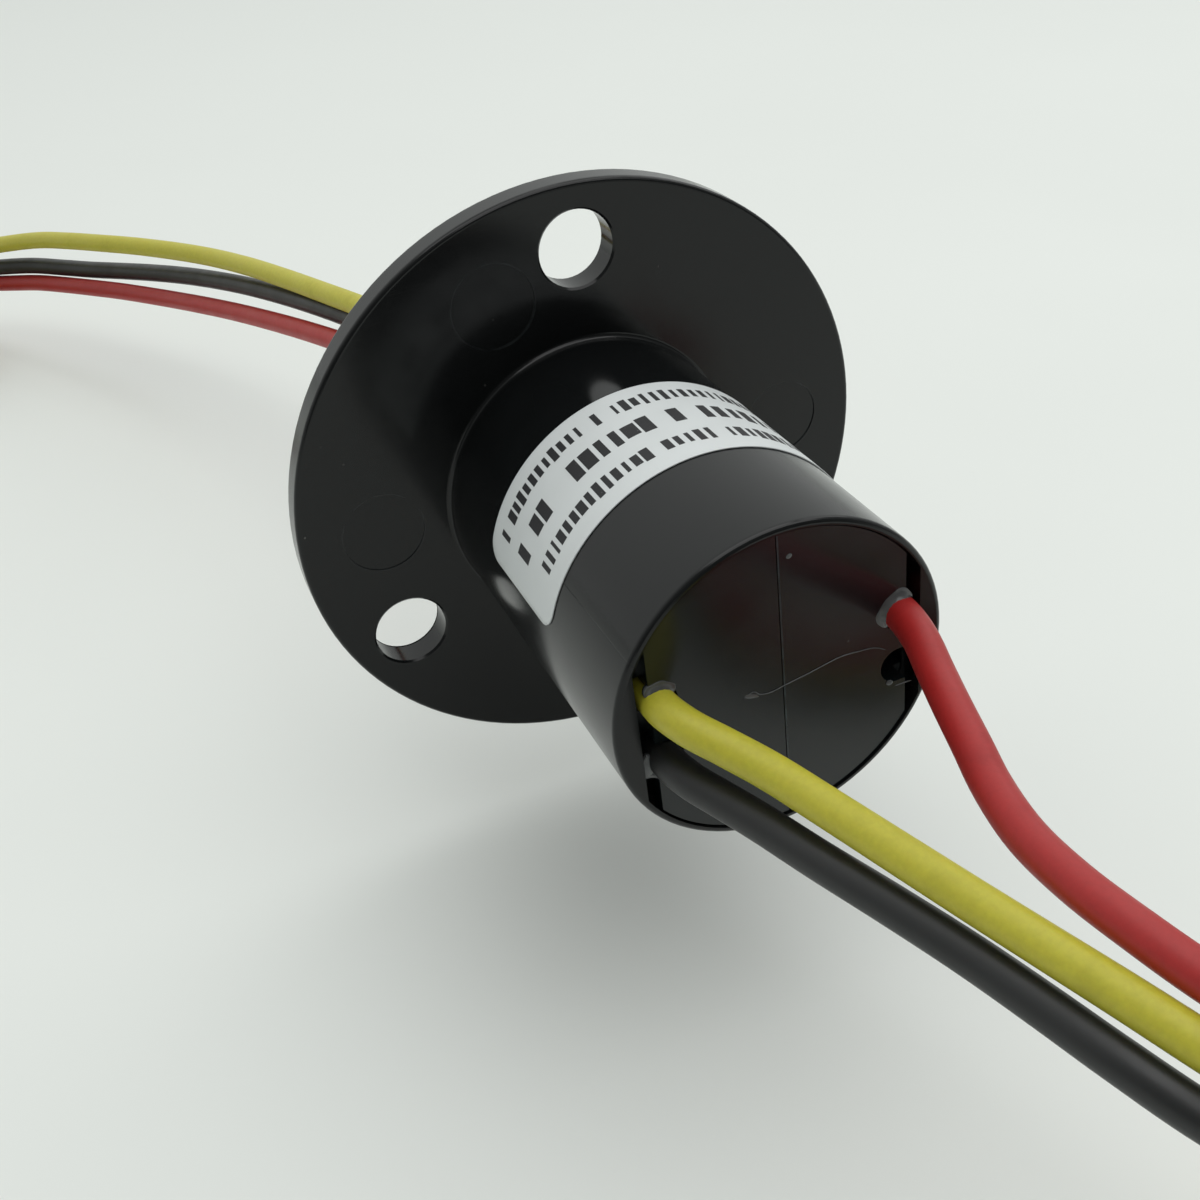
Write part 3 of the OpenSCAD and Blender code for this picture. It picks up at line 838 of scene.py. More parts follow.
@dataclass(frozen=True)
class LeadWire:
    """One lead wire from its exit to its stripped end in the coil.

    Attributes:
        circuit: its circuit.
        body: the body that it rides on.
        route: points from the exit to the coil, in millimetres.
        coil: the coil that takes the rest of it.
        row: its level in the coil.
        takes_coil: whether it also replaces the CAD node of the coil.
        length: its whole length in millimetres.
        tip_l: length of its stripped end.
        conductor_r: radius of its bare conductor.
    """

    circuit: Circuit
    body: Body
    route: tuple[Place, ...]
    coil: WoundCoil
    row: int
    takes_coil: bool = False
    length: float = 250.0
    tip_l: float = 5.5
    conductor_r: float = 0.5

    def exit_heading(self) -> Vector:
        """Way in which the wire leaves its exit."""
        return Vector((0, -1 if self.body is Body.STATOR else 1, 0))

    def line(self) -> list[Vector]:
        """Points of the whole wire, in millimetres."""
        cuts = 3
        route = [Vector(p) for p in self.route]
        landing = self.coil.turns(self.row, 4 * WIRE_D)
        free = smooth_line([*route, *landing], self.exit_heading(), cuts)[:cuts * len(route) + 1]
        used = run_length(smooth_line(free, self.exit_heading(), 4))
        return [*free[:-1], *self.coil.turns(self.row, self.length - used)]

    def curve(self, points: Sequence[Vector]) -> bpy.types.Curve:
        """The wire's curve, with handles that leave the exit square to the cover.

        Args:
            points: points of the wire, in millimetres.

        Returns:
            A curve of one open spline with a round section.
        """
        data = bpy.data.curves.new(f"{self.body.value}_cord_{self.circuit.value}", "CURVE")
        data.dimensions = "3D"
        data.bevel_depth = WIRE_D / 2 * MM
        data.bevel_resolution = 8
        data.resolution_u = 6
        data.use_fill_caps = True
        spline = data.splines.new("BEZIER")
        spline.bezier_points.add(len(points) - 1)
        ways = headings(points, self.exit_heading())
        for i, (knot, point, way) in enumerate(zip(spline.bezier_points, points, ways)):
            before = (point - points[max(i - 1, 0)]).length / 3
            after = (points[min(i + 1, len(points) - 1)] - point).length / 3
            knot.handle_left_type = knot.handle_right_type = "FREE"
            knot.co = point * MM
            knot.handle_left = (point - way * before) * MM
            knot.handle_right = (point + way * after) * MM
        return data

    def tip(self, points: Sequence[Vector]) -> bpy.types.Mesh:
        """The stripped, tinned end: twisted strands under a skin of solder.

        Args:
            points: points of the wire, in millimetres.

        Returns:
            The tip's mesh.
        """
        end, way = points[-1], (points[-1] - points[-2]).normalized()
        inside = Vector((-way.y, way.x, 0)) * 0.35
        steps = 40
        line = [end + way * (self.tip_l * k / steps - 0.6) + inside * (k / steps) ** 2
                for k in range(steps + 1)]

        def radius(share: float, angle: float) -> float:
            """Seven strands twisted twice along the tip, with a rounded end."""
            strands = 1 + 0.07 * math.cos(7 * angle + 4 * math.pi * share)
            ending = math.sqrt(max(0.02, 1 - (max(0.0, share - 0.93) / 0.07) ** 2))
            return self.conductor_r * strands * ending * MM

        return smooth_mesh("tip", tube_rings([p * MM for p in line], radius, 42))

    def build(self, finishes: Finishes) -> None:
        """Args:
            finishes: the object's finishes.
        """
        points = self.line()
        slot = f"wire_{self.circuit.value}"
        data = self.curve(points)
        wire = new_piece(data.name, data, self.body, finishes.by_slot[slot])
        tip_name = f"{self.body.value}_tip_{self.circuit.value}"
        tip = new_piece(tip_name, self.tip(points), self.body, finishes.tinned)
        coil_too = [self.coil.name] if self.takes_coil else []
        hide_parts(f"{self.body.value}_wire_{self.circuit.value}", *coil_too)


def notch_exit(side: int, row: int) -> Place:
    """Where a wire leaves a notch of the cover.

    Args:
        side: -1 for the left plate and 1 for the right one.
        row: 1 for the upper notch and -1 for the lower one.

    Returns:
        The place in millimetres.
    """
    a = math.radians(COVER_TURN)
    x, z = side * NOTCH_X, row * NOTCH_Z
    return (x * math.cos(a) - z * math.sin(a), PLATE_Y, x * math.sin(a) + z * math.cos(a))


def nose_exit(angle: float) -> Place:
    """Where a wire leaves the nose, at an angle round the axis in degrees."""
    x, z = polar(BUNDLE_R, angle)
    return (x, NOSE_Y, z)


STATOR_COIL = WoundCoil("stator_coil", (28.7, -67.0), 13.8, -120.0, 60.0, 3)
ROTOR_COIL = WoundCoil("rotor_coil", (-57.7, 125.3), 12.7, 102.0, 200.0, 2)


@dataclass
class Wiring:
    """The six lead wires."""

    wires: tuple[LeadWire, ...] = (
        LeadWire(Circuit.YELLOW, Body.STATOR, (
            notch_exit(-1, 1), (-5, -34.5, 0.5), (-0.4, -47.5, 0), (3.4, -58.5, -0.3),
            (6.6, -64.5, -2), (9.6, -68.6, -6.8), (11, -70.2, -13.5), (12.5, -71.7, -20.2),
            STATOR_COIL.meet(-155.7, 0.78, 3.21)),
            STATOR_COIL, 1),
        LeadWire(Circuit.BLACK, Body.STATOR, (
            notch_exit(-1, -1), (-5.8, -35, -2.5), (-1.3, -48.5, -2.2), (2.2, -59.7, -2.5),
            (5.1, -64.1, -4.1), (7.8, -67.5, -8.1), (9.1, -68.7, -13.6), (10.9, -70.5, -21.4),
            STATOR_COIL.meet(-156.6, 1.09, 2.04)),
            STATOR_COIL, 0, takes_coil=True),
        LeadWire(Circuit.RED, Body.STATOR, (
            notch_exit(1, 1), (5.9, -36, 2), (3.3, -46, 1.6), (4.7, -56.5, 1.5),
            (8.3, -64.7, 0), (11.5, -69.6, -5.6), (12.9, -71.6, -13.4), (14, -73, -18.9),
            STATOR_COIL.meet(-144.3, -0.33, 3.41)),
            STATOR_COIL, 2),
        LeadWire(Circuit.YELLOW, Body.ROTOR, (
            nose_exit(90), (-0.5, 18, 1.1), (-2.6, 36, -1), (-6.2, 57, -3.9), (-14.7, 87, -7.6),
            (-24.8, 105, -9.7), (-36, 124.5, -13.6), (-45.3, 134.7, -17.7),
            ROTOR_COIL.meet(66.9, -0.31, 3.41)),
            ROTOR_COIL, 2),
        LeadWire(Circuit.BLACK, Body.ROTOR, (
            nose_exit(330), (0.7, 18, -0.9), (-1.8, 36, -3.2), (-5.6, 57, -6.1),
            (-16.8, 95, -12.4), (-26.5, 113, -15.6), (-37.6, 128.5, -18), (-44, 134.7, -20),
            ROTOR_COIL.meet(51.4, 0.81, 3.26)),
            ROTOR_COIL, 1, takes_coil=True),
        LeadWire(Circuit.RED, Body.ROTOR, (
            nose_exit(210), (-1.6, 18, -1), (-4, 36, -4.4), (-7.7, 57, -8.3),
            (-17.9, 93, -14.9), (-27.5, 112, -17.6), (-37.2, 127.5, -20.2), (-43.1, 134.3, -22.1),
            ROTOR_COIL.meet(50.2, 1.08, 2.14)),
            ROTOR_COIL, 0),
    )

    def build(self, finishes: Finishes) -> None:
        """Makes every wire."""
        for wire in self.wires:
            wire.build(finishes)


# ---------------------------------------------------------------- wire ties


@dataclass(frozen=True)
class WireTie:
    """Nylon tie over a coil: a ribbed band with rounded bends and its locking head.

    Attributes:
        coil: the coil that it holds.
        body: the body that it rides on.
        band_w: width of the band.
        band_t: thickness of the band.
        rim: rounding of the band's edges.
        bend_r: outer radius of its bends.
        bend_cuts: straight stretches of a bend.
        play: gap between the band and the coil's sides.
        lift: gap between the coil and the band over it.
        head: length, width and height of the locking head.
        head_in: distance of the head's middle from the coil's outer side.
        tail: length of the cut tail past the head.
        ribs: number of ribs on top of the band.
        rib_pitch: distance between two ribs.
    """

    coil: WoundCoil
    body: Body
    band_w: float = 2.4
    band_t: float = 0.7
    rim: float = 0.18
    bend_r: float = 1.1
    bend_cuts: int = 6
    play: float = 0.2
    lift: float = 0.05
    head: Place = (3.2, 3.4, 2.0)
    head_in: float = 1.4
    tail: float = 2.6
    ribs: int = 7
    rib_pitch: float = 0.42

    @property
    def side(self) -> float:
        """Distance from the coil's middle turn to the inside of the band."""
        return self.coil.columns * WIRE_D / 2 + self.play

    @property
    def top(self) -> float:
        """Height of the inside of the band over the ground."""
        return COIL_ROWS * WIRE_D + self.lift

    def outline(self) -> list[Vector]:
        """Middle line of the band in the plane across the coil's section."""
        half, high = self.side + self.band_t / 2, self.top + self.band_t / 2
        bend = self.bend_r - self.band_t / 2
        line = [Vector((-half, 0, 0.02)), Vector((-half, 0, high / 2))]
        for centre, start in ((-half + bend, 180), (half - bend, 90)):
            for k in range(self.bend_cuts + 1):
                x, z = polar(bend, start - 90 * k / self.bend_cuts)
                line.append(Vector((centre + x, 0, high - bend + z)))
        return [*line, Vector((half, 0, high / 2)), Vector((half, 0, 0.02))]

    def band(self, build: bmesh.types.BMesh) -> None:
        """Adds the flat band with its rounded edges to a mesh."""
        line = self.outline()
        w, t, rim = self.band_w / 2, self.band_t / 2, self.rim
        section = [(-w + rim, -t), (w - rim, -t), (w, -t + rim), (w, t - rim),
                   (w - rim, t), (-w + rim, t), (-w, t - rim), (-w, -t + rim)]
        ring_highlights = []
        for i, point in enumerate(line):
            way = (line[min(i + 1, len(line) - 1)] - line[max(i - 1, 0)]).normalized()
            out = Vector((way.z, 0, -way.x)) * -1
            ring_highlights.append([build.verts.new(point + Vector((0, a, 0)) + out * b) for a, b in section])
        bridge(build, ring_highlights, capped=True)

    def box(self, build: bmesh.types.BMesh, size: Place, at: Vector, rim: float) -> None:
        """Adds a block with bevelled edges to a mesh.

        Args:
            build: the mesh.
            size: its sides.
            at: its middle.
            rim: width of its bevels.
        """
        made = bmesh.ops.create_cube(build, size=1.0)["verts"]
        bmesh.ops.scale(build, vec=Vector(size), verts=made)
        bmesh.ops.translate(build, vec=at, verts=made)
        edges = list({e for v in made for e in v.link_edges})
        bmesh.ops.bevel(build, geom=edges, offset=rim, segments=3, profile=0.6, affect="EDGES")

    def build(self, finishes: Finishes) -> None:
        """Makes the tie in place of its CAD node.

        Args:
            finishes: the object's finishes.
        """
        build = bmesh.new()
        self.band(build)
        top, head_x = self.top + self.band_t, self.side - self.head_in
        self.box(build, self.head, Vector((head_x, 0, top + self.head[2] / 2 - 0.3)), 0.35)
        tail_x = head_x - (self.head[0] + self.tail) / 2 + 0.2
        self.box(build, (self.tail, self.band_w, self.band_t), Vector((tail_x, 0, top + 0.75)), 0.15)
        for k in range(self.ribs):
            rib_x = 0.8 - self.side + self.rib_pitch * k
            self.box(build, (0.16, self.band_w * 0.62, 0.14), Vector((rib_x, 0, top + 0.04)), 0.03)
        turn = Matrix.Rotation(math.radians(self.coil.tie_angle), 4, "Z")
        centre = Vector((*self.coil.centre, GROUND_Z))
        bmesh.ops.translate(build, vec=Vector((self.coil.mean_r, 0, 0)), verts=build.verts)
        bmesh.ops.transform(build, matrix=Matrix.Scale(MM, 4) @ Matrix.Translation(centre) @ turn,
                            verts=build.verts)
        data = smooth_mesh(f"{self.body.value}_band", build)
        data.set_sharp_from_angle(angle=math.radians(35))
        piece = new_piece(f"{self.body.value}_band", data, self.body,
                          finishes.by_slot["tie_nylon"])
        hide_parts(f"{self.body.value}_tie")


# ---------------------------------------------------------------- label


@dataclass(frozen=True)
class PrintRow:
    """One row of generic print: plain blocks in place of letters.

    Attributes:
        name: name of the row.
        from_edge: distance of its middle from the label's flange side.
        start: distance of its first block from the label's left end.
        height: height of a block.
        width: width of a block.
        gap: distance between two blocks.
        count: places for blocks.
        spaces: share of places left empty.
        seed: seed of its random widths and spaces.
    """

    name: str
    from_edge: float
    start: float
    height: float
    width: float
    gap: float
    count: int
    spaces: float
    seed: int


@dataclass
class Label:
    """Film label with rounded corners, wrapped round the barrel, with rows of plain blocks.

    Attributes:
        film_t: thickness of the film.
        corner_r: rounding of its corners.
        columns: faces along it.
        rows: faces across it.
        left_end: angle of its left end about the axis, in degrees.
        length: its length round the barrel.
        lift: height of its underside over the barrel.
        print_t: thickness of a block of print.
        block_cuts: faces along a block, so that it bends with the barrel.
        block_widths: least and greatest share of a block's width.
        block_heights: least and greatest share of its height.
        print_rows: the rows of print.
    """

    film_t: float = 0.09
    corner_r: float = 1.3
    columns: int = 120
    rows: int = 24
    left_end: float = 172.0
    length: float = 35.0
    lift: float = 0.005
    print_t: float = 0.008
    block_cuts: int = 4
    block_widths: tuple[float, float] = (0.4, 1.3)
    block_heights: tuple[float, float] = (0.7, 1.0)
    print_rows: tuple[PrintRow, ...] = (
        PrintRow("upper", 1.95, 2.3, 1.5, 0.46, 0.24, 42, 0.15, 3),
        PrintRow("middle", 4.95, 2.6, 2.0, 0.8, 0.26, 27, 0.16, 8),
        PrintRow("lower", 8.05, 2.6, 1.55, 0.48, 0.25, 39, 0.15, 14),
    )

    def wrap(self, along: float, across: float, lift: float) -> Vector:
        """Place on the barrel of a point of the flat label.

        Args:
            along: distance from the left end.
            across: distance from the flange's seat.
            lift: height over the barrel.

        Returns:
            The place in millimetres.
        """
        angle = math.radians(self.left_end) - along / BARREL_R
        radius = BARREL_R + lift
        return Vector((radius * math.cos(angle), -across, radius * math.sin(angle)))

    def film(self, near: float, far: float) -> bpy.types.Mesh:
        """The label's film between two distances from the flange.

        Args:
            near: its edge on the flange's side.
            far: its edge on the cover's side.

        Returns:
            A closed thin shell.
        """
        build = bmesh.new()
        width = far - near
        rows = []
        for j in range(self.rows + 1):
            across = width * (1 - math.cos(math.pi * j / self.rows)) / 2
            edge = min(across, width - across)
            inset = 0.0
            if edge < self.corner_r:
                inset = self.corner_r - math.sqrt(self.corner_r ** 2 - (self.corner_r - edge) ** 2)
            row = []
            for i in range(self.columns + 1):
                along = inset + (self.length - 2 * inset) * i / self.columns
                row.append(build.verts.new(self.wrap(along, near + across, self.lift) * MM))
            rows.append(row)
        bridge(build, rows, closed=False)
        flat = bpy.data.meshes.new("film")
        build.normal_update()
        build.faces.ensure_lookup_table()
        first = build.faces[0]
        if first.normal.dot(first.calc_center_median()) < 0:
            bmesh.ops.reverse_faces(build, faces=build.faces)
        build.to_mesh(flat)
        build.free()
        flat.shade_smooth()
        holder = show("film", flat)
        shell = holder.modifiers.new("thickness", "SOLIDIFY")
        shell.thickness = self.film_t * MM
        shell.offset = 1.0
        return plain_mesh(holder, "label_film")

    def block_tree(self, ink: bpy.types.Material) -> bpy.types.NodeTree:
        """Geometry nodes that set a row of blocks and wrap it round the barrel.

        Args:
            ink: finish of the print.

        Returns:
            The node group, with its sizes as named inputs.
        """
        tree = bpy.data.node_groups.new("print_row", "GeometryNodeTree")
        tree.interface.new_socket("Geometry", in_out="INPUT", socket_type="NodeSocketGeometry")
        for name in ("Pitch", "Width", "Height", "Thickness", "Spaces", "Start", "Across",
                     "Left end", "Barrel radius"):
            tree.interface.new_socket(name, in_out="INPUT", socket_type="NodeSocketFloat")
        for name in ("Count", "Seed"):
            tree.interface.new_socket(name, in_out="INPUT", socket_type="NodeSocketInt")
        tree.interface.new_socket("Geometry", in_out="OUTPUT", socket_type="NodeSocketGeometry")
        group = Nodes(tree)
        source = group.add("NodeGroupInput").outputs

        def chance(low: float, high: float, salt: float) -> bpy.types.NodeSocket:
            """A random number for each point, fixed by the seed."""
            made = group.add("FunctionNodeRandomValue", data_type="FLOAT")
            made.inputs[2].default_value = low
            made.inputs[3].default_value = high
            group.link(group.math("ADD", source["Seed"], salt), made.inputs["Seed"])
            return made.outputs[1]

        line = group.add("GeometryNodeMeshLine")
        group.link(source["Count"], line.inputs["Count"])
        group.link(group.join(source["Pitch"], 0.0, 0.0), line.inputs["Offset"])
        spare = group.add("GeometryNodeDeleteGeometry", line.outputs[0], domain="POINT")
        group.link(group.math("LESS_THAN", chance(0.0, 1.0, 1.0), source["Spaces"]),
                   spare.inputs["Selection"])
        block = group.add("GeometryNodeMeshCube")
        block.inputs["Vertices X"].default_value = self.block_cuts + 1
        group.link(group.join(source["Width"], source["Height"], source["Thickness"]),
                   block.inputs["Size"])
        set_out = group.add("GeometryNodeInstanceOnPoints", spare.outputs[0])
        group.link(block.outputs[0], set_out.inputs["Instance"])
        group.link(group.join(chance(*self.block_widths, 2.0), chance(*self.block_heights, 3.0), 1.0),
                   set_out.inputs["Scale"])
        real = group.add("GeometryNodeRealizeInstances", set_out.outputs[0])
        right, up, out = group.split(group.add("GeometryNodeInputPosition").outputs[0])
        along = group.math("ADD", right, source["Start"])
        angle = group.math("SUBTRACT", source["Left end"],
                           group.math("DIVIDE", along, source["Barrel radius"]))
        radius = group.math("ADD", out, source["Barrel radius"])
        across = group.math("SUBTRACT", up, source["Across"])
        move = group.add("GeometryNodeSetPosition", real.outputs[0])
        group.link(group.join(group.math("MULTIPLY", radius, group.math("COSINE", angle)), across,
                              group.math("MULTIPLY", radius, group.math("SINE", angle))),
                   move.inputs["Position"])
        paint = group.add("GeometryNodeSetMaterial", move.outputs[0])
        paint.inputs["Material"].default_value = ink
        group.add("NodeGroupOutput", paint.outputs[0])
        return tree

    def print_mesh(self, row: PrintRow, tree: bpy.types.NodeTree, near: float) -> bpy.types.Mesh:
        """Runs the nodes for one row.

        Args:
            row: the row's sizes.
            tree: the node group.
            near: the label's edge on the flange's side.

        Returns:
            The row's plain mesh.
        """
        holder = show(f"print_{row.name}", bpy.data.meshes.new("blocks"))
        modifier = holder.modifiers.new("print", "NODES")
        modifier.node_group = tree
        sizes = {
            "Pitch": (row.width + row.gap) * MM, "Width": row.width * MM, "Height": row.height * MM,
            "Thickness": self.print_t * MM, "Spaces": row.spaces, "Start": row.start * MM,
            "Across": (near + row.from_edge) * MM, "Left end": math.radians(self.left_end),
            "Barrel radius": (BARREL_R + self.lift + self.film_t + self.print_t / 2) * MM,
            "Count": row.count, "Seed": row.seed,
        }
        for socket in tree.interface.items_tree:
            if socket.in_out == "INPUT" and socket.name in sizes:
                modifier[socket.identifier] = sizes[socket.name]
        return plain_mesh(holder, f"label_print_{row.name}")

    def build(self, finishes: Finishes) -> None:
        """Makes the film and its print in place of the CAD label.

        Args:
            finishes: the object's finishes.
        """
        low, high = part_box("label")
        near, far = -high.y / MM, -low.y / MM
        film = new_piece("label_film", self.film(near, far), Body.STATOR,
                         finishes.by_slot["label_paper"])
        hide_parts("label")
        tree = self.block_tree(finishes.ink)
        for row in self.print_rows:
            new_piece(f"label_print_{row.name}", self.print_mesh(row, tree, near), Body.STATOR,
                      finishes.ink)


# ---------------------------------------------------------------- sealing resin


@dataclass(frozen=True)
class ResinBead:
    """A set bead of adhesive pressed against the cover.

    Attributes:
        name: name of the bead.
        at: its middle on the cover, across and up.
        size: its half sizes across, along the axis and up.
        turn: its turn about the axis in degrees.
        seed: place in the noise that makes it uneven.
    """

    name: str
    at: tuple[float, float]
    size: Place
    turn: float
    seed: float
    sink: float = 0.15

    def mesh(self) -> bpy.types.Mesh:
        """Returns the bead's mesh: an uneven drop, flat where it lies on the cover."""
        build = bmesh.new()
        bmesh.ops.create_icosphere(build, subdivisions=4, radius=1.0)
        turn = Matrix.Rotation(math.radians(-self.turn), 3, "Y")
        for vert in build.verts:
            lump = 1 + 0.16 * noise.noise(vert.co * 1.7 + Vector((self.seed, 0, 0)))
            lump += 0.05 * noise.noise(vert.co * 4.5 + Vector((0, self.seed, 0)))
            flat = Vector([c * s * lump for c, s in zip(vert.co, self.size)])
            flat.y = min(flat.y, self.sink)
            placed = turn @ flat + Vector((self.at[0], PLATE_Y, self.at[1]))
            vert.co = placed * MM
        return smooth_mesh(self.name, build)


@dataclass(frozen=True)
class ResinFillet:
    """A set skirt of adhesive round part of a wire's foot, thin on the plate, high on the wire.

    Attributes:
        name: name of the fillet.
        centre: the wire's middle on the cover, across and up.
        span: angles between which it lies, in degrees.
        reach: how far it spreads on the plate past the wire.
        climb: how high it stands on the wire.
        seed: place in the noise that makes it uneven.
    """

    name: str
    centre: tuple[float, float]
    span: tuple[float, float]
    reach: float
    climb: float
    seed: float
    steps: int = 40
    film: float = 0.03
    sink: float = 0.25

    def mesh(self) -> bpy.types.Mesh:
        """Returns the fillet's mesh, a closed skirt that fades out at both ends."""
        build = bmesh.new()
        ring_highlights = []
        for k in range(self.steps + 1):
            share = k / self.steps
            fade = math.sin(math.pi * share) ** 0.6 + 0.03
            angle = math.radians(self.span[0] + (self.span[1] - self.span[0]) * share)
            uneven = 1 + 0.35 * noise.noise(Vector((share * 3.1, self.seed, 0)))
            climb = self.climb * fade * uneven
            inner = WIRE_D / 2 - 0.12
            outer = WIRE_D / 2 + 0.02 + self.reach * fade * (
                1 + 0.7 * noise.noise(Vector((share * 4.3, 0, self.seed))))
            profile = [(inner, self.sink), (inner, -climb)]
            for j in range(1, 8):
                t = j / 8
                height = self.film + (climb - self.film) * (1 - t) ** 2.2
                profile.append((inner + (outer - inner) * t, -height))
            profile += [(outer, -self.film), (outer + 0.02, self.sink)]
            ring = []
            for radius, lift in profile:
                spot = mm(self.centre[0] + radius * math.cos(angle), PLATE_Y + lift,
                          self.centre[1] + radius * math.sin(angle))
                ring.append(build.verts.new(spot))
            ring_highlights.append(ring)
        bridge(build, ring_highlights, capped=True)
        return smooth_mesh(self.name, build)


@dataclass
class SealingResin:
    """Adhesive left at the wire notches and the thread it drew across the cover."""

    fillets: tuple[ResinFillet, ...] = (
        ResinFillet("resin_fillet_red", (7.84, 2.6), (40, 232), 0.5, 0.6, 1.3),
        ResinFillet("resin_fillet_yellow", (-8.12, 1.49), (28, 138), 0.5, 0.3, 3.1),
        ResinFillet("resin_fillet_black", (-7.84, -2.6), (150, 292), 0.6, 0.4, 9.4),
    )
    beads: tuple[ResinBead, ...] = (
        ResinBead("resin_bead_empty", (7.57, -2.69), (0.24, 0.13, 0.18), 0, 5.2),
        ResinBead("resin_line_empty", (8.6, -3.1), (0.62, 0.035, 0.05), 0, 6.2),
        ResinBead("resin_bead_black", (-7.3, -4.5), (0.5, 0.05, 0.35), 50, 2.4),
        ResinBead("resin_drop_seam", (0.17, 8.85), (0.2, 0.07, 0.15), 20, 4.4),
        ResinBead("resin_drop_thread", (-2.1, -0.2), (0.5, 0.03, 0.16), -18, 8.8),
    )
    thread: tuple[tuple[float, float], ...] = (
        (-2.66, -0.26), (-2.3, 0.02), (-1.99, 0.11), (-1.6, -0.2), (-1.1, -0.34), (-0.5, -0.3),
        (0.02, -0.18), (1.83, 0.16), (2.96, 0.42), (3.87, 0.59), (5.03, 0.56), (6.45, 0.36), (7.1, 0.0))
    thread_r: float = 0.034

    def build(self, finishes: Finishes) -> None:
        """Makes the skirts, the beads and the thread.

        Args:
            finishes: the object's finishes.
        """
        for drop in (*self.fillets, *self.beads):
            new_piece(drop.name, drop.mesh(), Body.STATOR, finishes.haze)
        thread = [mm(x, PLATE_Y - 0.02, z) for x, z in self.thread]
        points = smooth_line(thread, (thread[1] - thread[0]).normalized(), 8)

        def radius(share: float, angle: float) -> float:
            """Thin, uneven thread, flattened on the cover."""
            uneven = 1 + 0.45 * noise.noise(Vector((share * 23, math.cos(angle), 0)))
            return self.thread_r * MM * uneven * (0.35 + 0.65 * min(1, 6 * share, 12 * (1 - share) + 0.3))

        new_piece("resin_thread", smooth_mesh("resin_thread", tube_rings(points, radius, 10)),
                  Body.STATOR, finishes.haze)


# ---------------------------------------------------------------- studio


@dataclass(frozen=True)
class Softbox:
    """One large soft lamp.

    Attributes:
        name: name of the lamp.
        at: its place in millimetres.
        side: side of its square in millimetres.
        power: its power in watts.
    """

    name: str
    at: Place
    side: float
    power: float

    def build(self) -> None:
        """Hangs the lamp and aims it at the object."""
        data = bpy.data.lights.new(self.name, "AREA")
        data.shape = "SQUARE"
        data.size = self.side * MM
        data.energy = self.power
        lamp = show(self.name, data)
        lamp.location = mm(*self.at)
        lamp.rotation_euler = (-lamp.location).to_track_quat("-Z", "Y").to_euler()


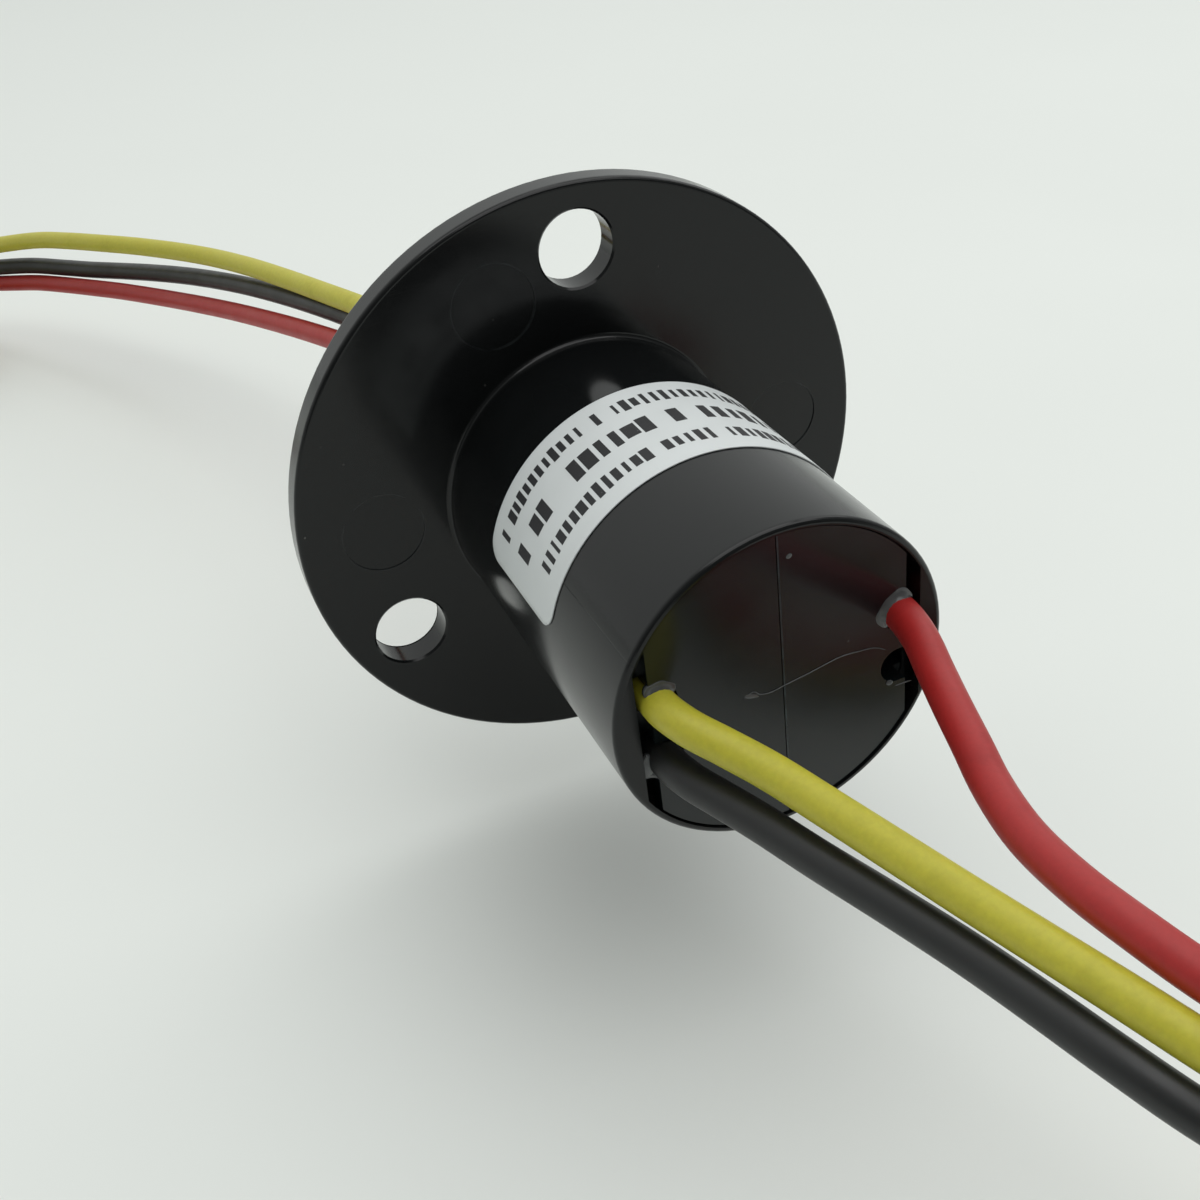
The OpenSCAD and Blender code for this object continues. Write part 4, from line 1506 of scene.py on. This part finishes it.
@dataclass
class Studio:
    """Pale floor, soft light and the camera.

    Attributes:
        camera_at: place of the camera in millimetres.
        right: its way to the right.
        up: its way up.
        lens: its focal length in millimetres.
        floor_side: side of the floor.
        floor_gap: gap between the lowest wires and the floor.
        floor_colour: colour of the floor.
        sky_colour: colour of the sky.
        horizon: strength of the sky at the horizon.
        zenith: strength of the sky overhead.
        front: share of that strength towards the end cover.
        back: share of that strength behind the flange.
        lamps: the soft lamps.
    """

    camera_at: Place = (-33.68, -84.14, 50.82)
    right: Place = (0.91262, -0.40521, -0.05422)
    up: Place = (0.26995, 0.49769, 0.82428)
    lens: float = 41.74
    floor_side: float = 4000.0
    floor_gap: float = 0.05
    floor_colour: Colour = (0.76, 0.785, 0.755)
    sky_colour: Colour = (0.97, 1.0, 0.98)
    horizon: float = 0.5
    zenith: float = 0.72
    front: float = 0.22
    back: float = 1.5
    lamps: tuple[Softbox, ...] = (
        Softbox("lamp_key", (90, -150, 680), 760, 2.9),
        Softbox("lamp_side", (430, 160, 420), 300, 0.3),
    )

    def camera(self) -> None:
        """Makes the camera."""
        data = bpy.data.cameras.new("camera")
        data.lens = self.lens
        data.sensor_width = 36
        data.clip_start = 0.001
        data.clip_end = 20
        camera = show("camera", data)
        right, up = Vector(self.right).normalized(), Vector(self.up)
        up = (up - right * up.dot(right)).normalized()
        turn = Matrix((right, up, right.cross(up))).transposed().to_4x4()
        camera.matrix_world = Matrix.Translation(mm(*self.camera_at)) @ turn
        bpy.context.scene.camera = camera

    def floor(self) -> None:
        """Makes the floor, a faintly uneven pale board, with a painted gradient of light that makes it
        lighter towards the back.
        """
        build = bmesh.new()
        bmesh.ops.create_grid(build, x_segments=1, y_segments=1, size=self.floor_side / 2 * MM)
        data = bpy.data.meshes.new("floor")
        build.to_mesh(data)
        build.free()
        shader = Shader("floor_board")
        cloudy = shader.cloud(shader.place(), 0.01, 3, 0.5)
        _, back, _ = shader.split(shader.place())
        even = shader.mottle(cloudy, 0.3, 0.7, self.floor_colour, tinted(self.floor_colour, 1.03))
        # Painted light: the board's colour grows 10 % lighter from 40 to 420 mm behind the object, in place
        # of light falling off towards the front.
        shader.set(Base_Color=shader.mottle(back, 40, 420, even, tinted(self.floor_colour, 1.1)),
                   Roughness=0.6)
        data.materials.append(shader.material)
        floor = show("floor", data)
        floor.location.z = (GROUND_Z - self.floor_gap) * MM

    def sky(self) -> None:
        """Lights everything softly from above, with a darker room in front of the cover."""
        world = bpy.data.worlds.new("sky")
        world.use_nodes = True
        tree = Nodes(world.node_tree)
        background = world.node_tree.nodes["Background"]
        tree.feed(background.inputs["Color"], self.sky_colour)
        _, back, up = tree.split(tree.add("ShaderNodeTexCoord").outputs["Generated"])
        strength = tree.math("MULTIPLY", tree.span(up, 0.0, 0.9, self.horizon, self.zenith, "SMOOTHSTEP"),
                             tree.span(back, -0.8, 0.8, self.front, self.back, "SMOOTHSTEP"))
        tree.link(strength, background.inputs["Strength"])
        bpy.context.scene.world = world

    def build(self) -> None:
        """Sets the studio up."""
        bpy.context.scene.view_settings.view_transform = "Standard"
        self.camera()
        self.floor()
        self.sky()
        for lamp in self.lamps:
            lamp.build()


# ---------------------------------------------------------------- main


def main() -> None:
    """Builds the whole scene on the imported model."""
    logging.basicConfig(level=logging.INFO, format="%(name)s: %(message)s")
    for item in list(bpy.data.objects):
        bpy.data.objects.remove(item)
    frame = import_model()
    Studio().build()
    finishes = Finishes()
    finishes.build()
    finishes.dress_cad(frame)
    Wiring().build(finishes)
    WireTie(STATOR_COIL, Body.STATOR).build(finishes)
    WireTie(ROTOR_COIL, Body.ROTOR).build(finishes)
    Label().build(finishes)
    SealingResin().build(finishes)


if __name__ == "__main__":
    main()
